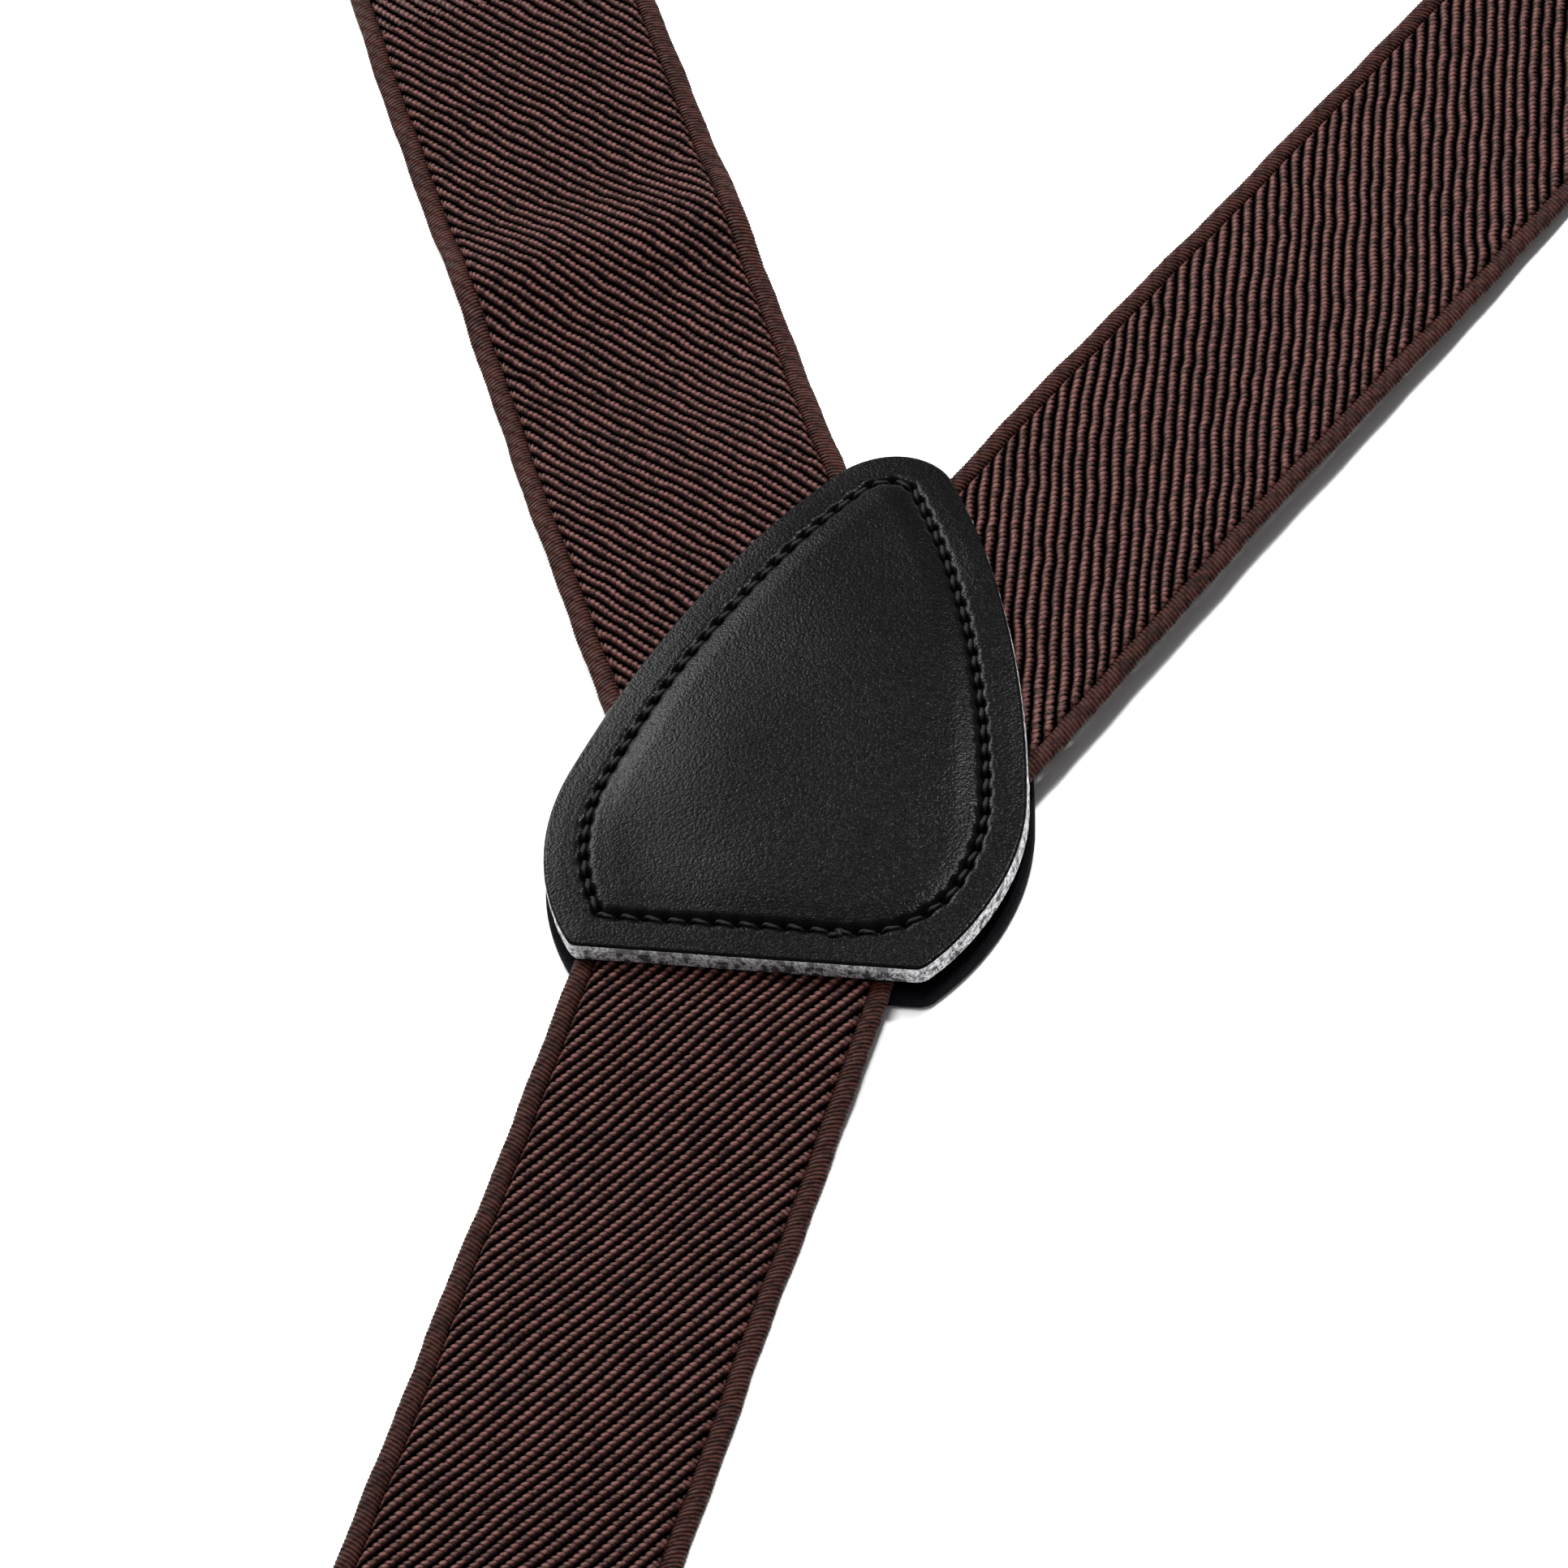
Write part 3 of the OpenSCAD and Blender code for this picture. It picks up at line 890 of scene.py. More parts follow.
@dataclass
class Seam:
    """Closed line of stitches inside the outline, with one of its corners cut round."""

    path: Array
    pitch: float
    round_corner: Array
    reach: float = 6.5
    grain: float = 0.12

    def __post_init__(self) -> None:
        """Cut the corner along a parabola between the points where the seam is reach away."""
        gap = np.linalg.norm(self.path - self.round_corner, axis=1)
        close = np.flatnonzero(gap < self.reach)
        first, last = self.path[close[0] - 1], self.path[close[-1] + 1]
        t = np.linspace(0, 1, len(close))[:, None]
        curve = first * (1 - t) ** 2 + 2 * self.round_corner * t * (1 - t) + last * t**2
        self.path = self.path.copy()
        self.path[close] = curve
        closed = np.vstack([self.path, self.path[:1]])
        far = np.concatenate([[0], np.cumsum(np.linalg.norm(np.diff(closed, axis=0), axis=1))])
        self.fine = self._read(closed, far, np.arange(0, far[-1], self.grain))
        count = round(far[-1] / self.pitch)
        at = (np.arange(count) + 0.5) * far[-1] / count
        self.mid = self._read(closed, far, at)
        way = self._read(closed, far, at + 0.3) - self._read(closed, far, at - 0.3)
        self.way = way / np.linalg.norm(way, axis=1, keepdims=True)
        self.holes = self._read(closed, far, at + 0.5 * far[-1] / count)

    @staticmethod
    def _read(closed: Array, far: Array, at: Array) -> Array:
        """Read points off a closed line.

        Args:
            closed: Its points, the first one repeated at the end.
            far: Distance of each from the first.
            at: Distances to read at, past the end too.

        Returns:
            A point for each distance.
        """
        at = np.mod(at, far[-1])
        return np.stack([np.interp(at, far, closed[:, k]) for k in (0, 1)], 1)

    @staticmethod
    def _nearest(points: Array, marks: Array) -> Array:
        """Return each point's distance from the nearest mark."""
        gap = points[:, None, :] - marks[None, :, :]
        return np.sqrt((gap**2).sum(2).min(1))

    def from_hole(self, points: Array) -> Array:
        """Return each point's distance from the nearest stitch hole."""
        return self._nearest(points, self.holes)

    def inside(self, points: Array) -> Array:
        """Distance of points from the seam.

        A point is inside where a level ray from it crosses the seam an odd number of times.

        Args:
            points: Places, one row of x and y each.

        Returns:
            Distances, negative outside the seam.
        """
        a, b = self.path, np.roll(self.path, -1, axis=0)
        y = points[:, 1:2]
        spans = (a[None, :, 1] > y) != (b[None, :, 1] > y)
        rise = np.where(np.abs(b[:, 1] - a[:, 1]) < 1e-9, 1e-9, b[:, 1] - a[:, 1])
        cross = a[None, :, 0] + (y - a[None, :, 1]) * ((b[:, 0] - a[:, 0]) / rise)[None, :]
        odd = (spans & (points[:, 0:1] < cross)).sum(1) % 2 == 1
        return np.where(odd, 1.0, -1.0) * self._nearest(points, self.fine)


@dataclass
class Needle:
    """Lockstitches: arched two-ply threads that dive into a hole at both ends."""

    pitch: float
    radius: float = 0.28
    lean: float = -9.0
    rise: float = 0.17
    dive: float = 0.75
    lobe: float = 0.16
    twist: float = 3.1
    rings: int = 13
    sides: int = 10

    def sew(self, shell: Shell, mid: Array, way: Array, seat: Callable[[Array], Array]) -> None:
        """Add one closed thread for each stitch.

        The thread's middle line rises by 1 - t^4 and dives by t^5 as t goes from -1 to 1 along
        it, and its round section has two lobes that turn along it, as two twisted plies do.

        Args:
            shell: Where the threads go.
            mid: Middles of the stitches.
            way: Their directions.
            seat: Gives the height of the face under them.
        """
        rng = np.random.default_rng(SEED)
        t = np.linspace(-1, 1, self.rings)
        a = np.linspace(0, 2 * math.pi, self.sides, endpoint=False)
        ring = np.arange(self.sides)
        ends = [ring[::-1][None, :], (ring + self.sides * (self.rings - 1))[None, :]]
        for p, d in zip(mid, way):
            turn = math.radians(self.lean + rng.uniform(-5, 5))
            c, k = math.cos(turn), math.sin(turn)
            d = np.array([d[0] * c - d[1] * k, d[0] * k + d[1] * c])
            n = np.array([-d[1], d[0]])
            half = self.pitch * rng.uniform(0.43, 0.49)
            sway = 0.05 * rng.uniform(-1, 1) * (1 - t * t)
            line = p + np.outer(t * half, d) + np.outer(sway, n)
            base = float(np.median(seat(line)[3:-3]))
            z = base + self.rise * (1 - t**4) - self.dive * np.abs(t) ** 5
            radius = self.radius * (1 - 0.25 * np.abs(t) ** 3)
            plies = 1 + self.lobe * np.cos(2 * (a[None, :] + t[:, None] * self.twist))
            r = radius[:, None] * plies
            side, up = r * np.cos(a)[None, :], 0.8 * r * np.sin(a)[None, :]
            xy = line[:, None, :] + side[:, :, None] * n
            shell.add(np.dstack([xy, z[:, None] + up]), [grid_faces(self.rings, self.sides, True), *ends])


@dataclass
class Yoke:
    """The two leathers that hold the straps, and the seam through them."""

    finishes: Finishes
    seam_inset: float = 4.4
    pitch: float = 2.62
    thickness: float = 2.0
    rim_z: float = 5.6
    pillow: float = 0.80
    groove: float = 0.36
    groove_half: float = 0.42
    hole: float = 0.60
    hole_half: float = 0.52
    last_ring: float = 8.0
    tack: float = 9.0
    tack_pitch: float = 1.7
    back_overhang: float = 0.35
    back_shift: tuple[float, float] = (0.05, -0.7)
    back_heart: tuple[float, float] = (0.0, -4.0)

    def __post_init__(self) -> None:
        """Read the outline's size and the layers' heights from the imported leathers."""
        low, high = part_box("yoke_front_leather")
        self.shield = Shield((high.y - low.y) / MM, (high.x - low.x) / MM)
        self.top = high.z / MM
        low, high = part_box("yoke_back_leather")
        self.back_top = high.z / MM
        path = self.shield.ring(self.seam_inset)
        low = path[path[:, 1] < path[:, 1].min() + 0.5]
        self.seam = Seam(path, self.pitch, low[np.argmax(low[:, 0])])

    def crown(self, points: Array, inset: Array) -> Array:
        """Height of the front leather's face.

        It is the drape over the straps, higher over the middle and the right one and lower at
        the point and the foot, plus a pillow that rises as a quarter sine of the distance inside
        the seam, less so at the lower left, with a low oval mound on it. The seam's groove and
        the stitch holes are taken off, with a small bank on both sides, and the cut edge rolls.

        Args:
            points: Places, one row of x and y each.
            inset: Distance of each place inside the edge, up to the last ring's.

        Returns:
            Heights above the table.
        """
        x, y = points[:, 0], points[:, 1]
        drape = self.rim_z + 0.35 * bell(y, 0, 26) * (1 - smooth(np.abs(x), 16, 26))
        drape = drape - 0.9 * smooth(y, 22, 38) - 0.35 * smooth(-y, 26, 38)
        drape = drape + 0.35 * smooth(x, 2, 20) * smooth(y, -10, 12)
        depth = self.seam.inside(points)
        rise = np.clip(depth / (self.last_ring - self.seam_inset), 0, 1)
        mound = smooth(1 - (x / 21) ** 2 - ((y + 7) / 31) ** 2, 0, 1)
        flat = (1 - smooth(y, -26, -12)) * (1 - smooth(x, 2, 15))
        pillow = self.pillow * (0.62 * np.sin(math.pi / 2 * rise) * (1 - 0.6 * flat) + 0.9 * mound)
        seam, hole = self.marks(points)
        bank = 0.05 * bell(depth, 1.1, 0.7) + 0.02 * bell(depth, -1.1, 0.6)
        roll = 0.20 * (1 - smooth(inset, 0, 0.35)) ** 2 + 0.10 * (1 - smooth(inset, 0, 2.2))
        waver = 0.07 * np.sin(x * 0.23 + 1.0) * np.sin(y * 0.19 + 0.6)
        return drape + pillow - self.groove * seam + bank - self.hole * hole - roll + waver

    def marks(self, points: Array) -> tuple[Array, Array]:
        """Strength, from 0 to 1, of the seam's groove and of its stitch holes.

        Args:
            points: Places, one row of x and y each.

        Returns:
            Bells of the distance from the seam and from the nearest hole.
        """
        groove = bell(self.seam.inside(points), 0, self.groove_half)
        return groove, bell(self.seam.from_hole(points), 0, self.hole_half)

    def at_seam(self, points: Array) -> Array:
        """Return the height of the front leather's face at points of the seam."""
        return self.crown(points, np.full(len(points), self.seam_inset))

    def _face(self) -> tuple[list[Array], list[Array], Array]:
        """Lay rings over the front's face: the outline at growing insets, then towards a spine.

        Returns:
            The rings, their groove and hole marks, and the spine's points.
        """
        insets = np.concatenate([np.linspace(0, 0.9, 7), np.linspace(1.15, self.last_ring, 32)])
        rings = [self.shield.ring(float(inset)) for inset in insets]
        last = rings[-1]
        spine = np.stack([np.zeros(len(last)), np.clip(last[:, 1] * 0.62 - 2.0, -22, 20)], 1)
        shares = np.linspace(0, 1, 30)[1:]
        rings += [last + (spine - last) * float(share) for share in shares]
        depths = np.concatenate([insets, np.full(len(shares), self.last_ring)])
        tops = [
            np.column_stack([ring, self.crown(ring, np.full(len(ring), depth))])
            for ring, depth in zip(rings, depths)
        ]
        return tops, [np.column_stack(self.marks(ring)) for ring in rings], spine

    def _cut(self, edge: Array) -> list[Array]:
        """Lay rings down the cut edge, which bulges as a half sine and is frayed.

        Args:
            edge: The face's outermost ring.

        Returns:
            Rings from just under the face down to just above the underside.
        """
        fray = soft_noise((1, len(edge)), (1, 260), SEED)[0]
        out = edge[:, :2] / np.linalg.norm(edge[:, :2], axis=1, keepdims=True)
        rings = []
        for share in (0.92, 0.7, 0.45, 0.2, 0.06):
            bulge = 0.10 * math.sin(math.pi * share) + 0.05 * fray
            level = edge[:, 2] - self.thickness * (1 - share)
            rings.append(np.column_stack([edge[:, :2] + out * bulge[:, None], level]))
        return rings

    def _underside(self, edge: Array, spine: Array) -> list[Array]:
        """Lay rings over the underside, which is hollowed over the straps.

        Args:
            edge: The face's outermost ring.
            spine: The line that the face's rings shrink to.

        Returns:
            Rings from the edge to the spine.
        """
        rings = []
        for share in (0.0, 0.35, 0.7, 1.0):
            flat = edge[:, :2] + (spine - edge[:, :2]) * share
            level = edge[:, 2] - self.thickness + 0.9 * smooth(share, 0, 0.6)
            rings.append(np.column_stack([flat, level]))
        return rings

    def front(self) -> bpy.types.Object:
        """Make the front leather, with the upper rows of its cut edge as a paler lip.

        Returns:
            The new piece: rings from the underside's spine, up the edge, to the face's spine.
        """
        tops, marks, spine = self._face()
        sides = self._cut(tops[0])
        under = self._underside(tops[0], spine)
        rows = under[::-1] + sides[::-1] + tops
        cut_from, cut_to = len(under) - 1, len(under) + len(sides) - 1
        count = len(tops[0])
        faces = grid_faces(len(rows), count, True)
        row = faces[:, 0] // count
        slot = np.where((row >= cut_from) & (row < cut_to), 1, 0)
        slot[(row == cut_to - 1) | (row == cut_to)] = 2
        blank = np.zeros((len(rows) - len(marks), count, 2))
        shell = Shell()
        shell.add(np.stack(rows), [faces[slot == k] for k in range(3)],
                  np.vstack([blank, np.stack(marks)]), (0, 1, 2))
        f = self.finishes
        piece = shell.build("yoke_front", [f.leather, f.cut, f.lip])
        close_up(piece)
        return piece

    def back(self) -> bpy.types.Object:
        """Make the back leather: a flat plate with slightly rolled and frayed edges.

        Returns:
            The new piece: rings of the outline, given as inset and height, between two poles.
        """
        over, top = self.back_overhang, self.back_top
        profile = (
            (0.5 - over, 0.02), (0.12 - over, 0.14), (-over, 0.5), (-over - 0.04, top * 0.6),
            (0.1 - over, top - 0.16), (0.5 - over, top), (3.0, top),
        )
        levels = [profile[0][1], *(z for _, z in profile), profile[-1][1]]
        rings = [self.shield.ring(inset) for inset, _ in profile]
        pole = self.shield.ring(self.last_ring) * 0.02 + np.array(self.back_heart) * 0.98
        rows = []
        for ring, z in zip([pole, *rings, pole], levels):
            fray = 0.05 * soft_noise((1, len(ring)), (1, 300), SEED + int(z * 10))[0]
            level = z + fray * (0.1 < z < top - 0.1)
            rows.append(np.column_stack([ring + self.back_shift, level]))
        shell = Shell()
        shell.add(np.stack(rows), [grid_faces(len(rows), len(pole), True)])
        piece = shell.build("yoke_back", [self.finishes.back])
        close_up(piece)
        return piece

    def stitches(self) -> bpy.types.Object:
        """Make the front's seam, with the knot of two short stitches where it starts and ends.

        Returns:
            The new piece, one closed thread for each stitch.
        """
        shell = Shell()
        Needle(self.pitch).sew(shell, self.seam.mid, self.seam.way, self.at_seam)
        low = self.seam_inset - self.shield.height / 2
        knot = np.array([[self.tack, low - 0.75], [self.tack + 0.5, low - 0.35]])
        way = np.array([[0.93, 0.37], [0.6, -0.8]])
        Needle(self.tack_pitch).sew(shell, knot, way, self.at_seam)
        piece = shell.build("yoke_seam", [self.finishes.thread])
        close_up(piece)
        return piece

    def build(self) -> None:
        """Make the yoke's pieces and put them in place of the plain leathers."""
        for make, node, part in (
            (self.front, "yoke_front_leather", Part.LEATHER),
            (self.back, "yoke_back_leather", Part.LEATHER),
            (self.stitches, "yoke_stitching", Part.THREAD),
        ):
            piece = make()
            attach(piece, "yoke")
            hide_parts(node)
            LOG.info("made %s, %d faces", piece.name, len(piece.data.polygons))


# ---------------------------------------------------------------- camera, light and table


@dataclass(frozen=True)
class Lamp:
    """Round soft lamp that looks at the middle of the frame, with its place and size in metres."""

    name: str
    place: tuple[float, float, float]
    size: float
    power: float
    glints: bool = True

    def hang(self) -> None:
        """Put the lamp in the scene, unseen in reflections where it gives no glints."""
        lamp = bpy.data.lights.new(self.name, "AREA")
        lamp.shape, lamp.size, lamp.energy = "DISK", self.size, self.power
        holder = bpy.data.objects.new(self.name, lamp)
        holder.visible_glossy = self.glints
        spot = Vector(self.place)
        holder.matrix_world = Matrix.Translation(spot) @ spot.to_track_quat("Z", "Y").to_matrix().to_4x4()
        bpy.context.scene.collection.objects.link(holder)


@dataclass(frozen=True)
class Studio:
    """Pale table, soft light and the camera."""

    azimuth: float = 22.2
    elevation: float = 45.5
    roll: float = -12.5
    distance: float = 0.825
    lens: float = 175.0
    sensor: float = 36.0
    aim: tuple[float, float, float] = (-0.003378, -0.00842, 0.0)
    surround: float = 0.25
    table_half: float = 4000.0
    table_tone: Colour = (0.93, 0.93, 0.93, 1)
    lamps: tuple[Lamp, ...] = (
        Lamp("key", (-0.20, 0.38, 1.75), 1.15, 35.0, glints=False),
        Lamp("relief", (-1.03, 0.98, 0.93), 0.80, 26.0),
        Lamp("kicker", (0.30, 0.80, 1.36), 0.20, 22.0),
    )

    def camera(self) -> None:
        """Put the camera on its line of sight, then roll it about that line."""
        a, e = math.radians(self.azimuth), math.radians(self.elevation)
        back = Vector((math.sin(a) * math.cos(e), -math.cos(a) * math.cos(e), math.sin(e)))
        data = bpy.data.cameras.new("camera")
        data.lens, data.sensor_width = self.lens, self.sensor
        data.clip_start, data.clip_end = 0.01, 20
        eye = bpy.data.objects.new("camera", data)
        look = (-back).to_track_quat("-Z", "Y").to_matrix().to_4x4()
        turn = Matrix.Rotation(math.radians(self.roll), 4, "Z")
        eye.matrix_world = Matrix.Translation(Vector(self.aim) + back * self.distance) @ look @ turn
        bpy.context.scene.collection.objects.link(eye)
        bpy.context.scene.camera = eye

    def light(self) -> None:
        """White surround, a large soft lamp overhead, a low one that rakes the ribs, a small one."""
        world = bpy.data.worlds.new("surround")
        world.use_nodes = True
        background = world.node_tree.nodes["Background"]
        background.inputs[0].default_value = (1, 1, 1, 1)
        background.inputs[1].default_value = self.surround
        bpy.context.scene.world = world
        for lamp in self.lamps:
            lamp.hang()
        bpy.context.scene.view_settings.view_transform = "Standard"

    def table(self) -> None:
        """Large pale table top just under the suspenders."""
        n = Nodes("table")
        n.dress(self.table_tone, 0.9, Specular_IOR_Level=0.1)
        shell = Shell()
        corners = np.array([[-1, -1, 0], [1, -1, 0], [1, 1, 0], [-1, 1, 0]]) * self.table_half
        shell.add(corners, [np.array([[0, 1, 2, 3]])])
        shell.build("table", [n.material])

    def build(self) -> None:
        """Set up the view, the light and the table."""
        self.camera()
        self.light()
        self.table()
        LOG.info("studio ready")


# ---------------------------------------------------------------- webbing


@dataclass
class Path:
    """Middle line of a length of webbing, in its strap's frame, as distance along and height."""

    points: Array
    start: float = 0.0
    reach: float = 0.2

    def __post_init__(self) -> None:
        """Measure the line."""
        step = np.linalg.norm(np.diff(self.points, axis=0), axis=1)
        self.far = np.concatenate([[0], np.cumsum(step)])
        self.length = float(self.far[-1])

    def at(self, s: Array) -> tuple[Array, Array]:
        """Read the line, with its direction taken over a short reach both ways.

        Args:
            s: Distances along it.

        Returns:
            Places and upward normals.
        """
        behind, place, ahead = (
            np.stack([np.interp(s + step, self.far, self.points[:, k]) for k in (0, 1)], 1)
            for step in (-self.reach, 0.0, self.reach)
        )
        way = ahead - behind
        way = way / np.linalg.norm(way, axis=1, keepdims=True)
        return place, np.stack([-way[:, 1], way[:, 0]], 1)


def arc(centre: tuple[float, float], radius: float, start: float, end: float, steps: int = 24) -> Array:
    """Points on an arc.

    Args:
        centre: Its centre.
        radius: Its radius.
        start: Angle of its first point, in degrees.
        end: Angle of its last point, in degrees.
        steps: Number of points.

    Returns:
        Points, one row each.
    """
    t = np.radians(np.linspace(start, end, steps))
    return np.array(centre) + radius * np.stack([np.cos(t), np.sin(t)], 1)


@dataclass
class Webbing:
    """Elastic webbing: a woven body between two wrapped rims, all closed tubes."""

    material: bpy.types.Material
    slant: int
    weave: Weave = Weave()
    half_w: float = 17.5
    half_t: float = 0.7
    rib_height: float = 0.50
    rim_mid: float = 16.36
    rim_r: tuple[float, float] = (1.14, 0.60)
    drift: float = 0.45
    pull: float = 0.14
    plain_pace: float = 0.62
    row_pace: float = 0.25
    turn_pace: float = 0.155

    def body(self, shell: Shell, path: Path, s: Array, pace: float) -> None:
        """Add the woven body.

        Its upper face is the ribs on a flat base, falling to a groove beside each rim. The ribs
        drift along the strap and are pulled a little by random fields, and vary in height. Its
        lower face is flat.

        Args:
            shell: Where the body goes.
            path: The webbing's middle line.
            s: Distances along it of the rows.
            pace: Distance between the upper face's columns.
        """
        edge = self.weave.body_half
        v = np.linspace(-edge, edge, round(2 * edge / pace) + 1)
        low = np.linspace(edge, -edge, 22)
        along = path.start + s
        drift = soft_noise((len(s), len(v)), (max(2, int(path.length / 14)), 4), SEED)
        pull = soft_noise((len(s), len(v)), (max(2, int(path.length / 2.6)), 15), SEED + 1)
        u = along[:, None] + self.drift * drift + self.pull * pull
        across = v[None, :] + 0.09 * pull
        hump = self.weave.relief(across, u, self.slant)
        fall = smooth(np.abs(v), edge - 0.55, edge)[None, :]
        grown = 1 + 0.14 * soft_noise(pull.shape, (int(path.length / 1.5) + 2, 24), SEED + 3)
        base = self.half_t - self.rib_height
        top = base + self.rib_height * hump * grown * (1 - fall) - 0.12 * fall
        under = np.full((len(s), len(low)), -self.half_t + 0.05)
        under += 0.30 * (np.abs(low) > edge - 0.1)
        self._tube(shell, path, s, np.concatenate([v, low]), np.hstack([top, under]),
                   np.hstack([across, np.repeat(low[None, :], len(s), 0)]),
                   np.hstack([u, np.repeat(along[:, None], len(low), 1)]))

    def rim(self, shell: Shell, path: Path, s: Array, side: int, wrapped: bool) -> None:
        """Add one wrapped edge: an oval tube whose skin swells under each turn of thread.

        Args:
            shell: Where the rim goes.
            path: The webbing's middle line.
            s: Distances along it of the rows.
            side: 1 or -1, which edge.
            wrapped: Whether the turns are modelled.
        """
        t = np.linspace(0, 2 * math.pi, 15)[:-1] * -side
        along = path.start + s
        swell = np.ones((len(s), len(t)))
        if wrapped:
            skew = 0.45 * np.cos(t)[None, :]
            turn = dome(wave(along[:, None] + skew, self.weave.wrap_pitch), 0.46)
            swell = 0.90 + 0.15 * turn + 0.03 * soft_noise(swell.shape, (len(s) // 5, 5), SEED + 2)
        out = np.cos(t)[None, :] * swell * self.rim_r[0] * side
        v = side * self.rim_mid + out
        h = -np.sin(t)[None, :] * side * swell * self.rim_r[1]
        flat = side * (self.weave.body_half + 0.1 + (1 + np.cos(t))[None, :] + 0 * v)
        self._tube(shell, path, s, v, h - 0.02, flat, np.repeat(along[:, None], len(t), 1))

    @staticmethod
    def _tube(shell: Shell, path: Path, s: Array, v: Array, h: Array, across: Array, along: Array) -> None:
        """Add a closed tube, which sways from side to side as a sum of three sines.

        Args:
            shell: Where the tube goes.
            path: The webbing's middle line.
            s: Distances along it of the rows.
            v: The section's points across the webbing, for all rows or for each.
            h: Their heights over the line, for each row.
            across: Their texture place across.
            along: Their texture place along.
        """
        place, up = path.at(s)
        far = path.start + s
        sway = 0.14 * np.sin(far / 11.3 + 1.0) + 0.06 * np.sin(far / 4.1) + 0.05 * np.sin(far / 1.7)
        v = np.broadcast_to(v, h.shape) + sway[:, None]
        y = place[:, 0:1] + up[:, 0:1] * h
        z = place[:, 1:2] + up[:, 1:2] * h
        points = np.dstack([v, y, z])
        uv = np.dstack([across, along]) * MM
        rows, cols = h.shape
        ring = np.arange(cols)
        ends = [ring[::-1][None, :], (ring + (rows - 1) * cols)[None, :]]
        shell.add(points, [grid_faces(rows, cols, True), *ends], uv)

    def strip(self, name: str, path: Path, placed: Matrix, fine: float = 0.0) -> bpy.types.Object:
        """Make one length of webbing.

        Args:
            name: Name of the piece.
            path: Its middle line.
            placed: The strap's frame.
            fine: Distance along the path past which every thread is modelled, or 0 where only
                the ribs are.

        Returns:
            The new piece.
        """
        shell = Shell()
        if fine > 0:
            lead = np.arange(0, fine, 1.5)
            s, edge = (
                np.concatenate([lead, np.arange(fine, path.length, pace), [path.length]])
                for pace in (self.row_pace, self.turn_pace)
            )
            self.body(shell, path, s, 0.235)
        else:
            s = np.linspace(0, path.length, max(8, round(path.length / self.plain_pace)))
            edge = s
            self.body(shell, path, s, 0.36)
        for side in (-1, 1):
            self.rim(shell, path, edge, side, fine > 0)
        piece = shell.build(name, [self.material], placed)
        close_up(piece, merge=False)
        return piece


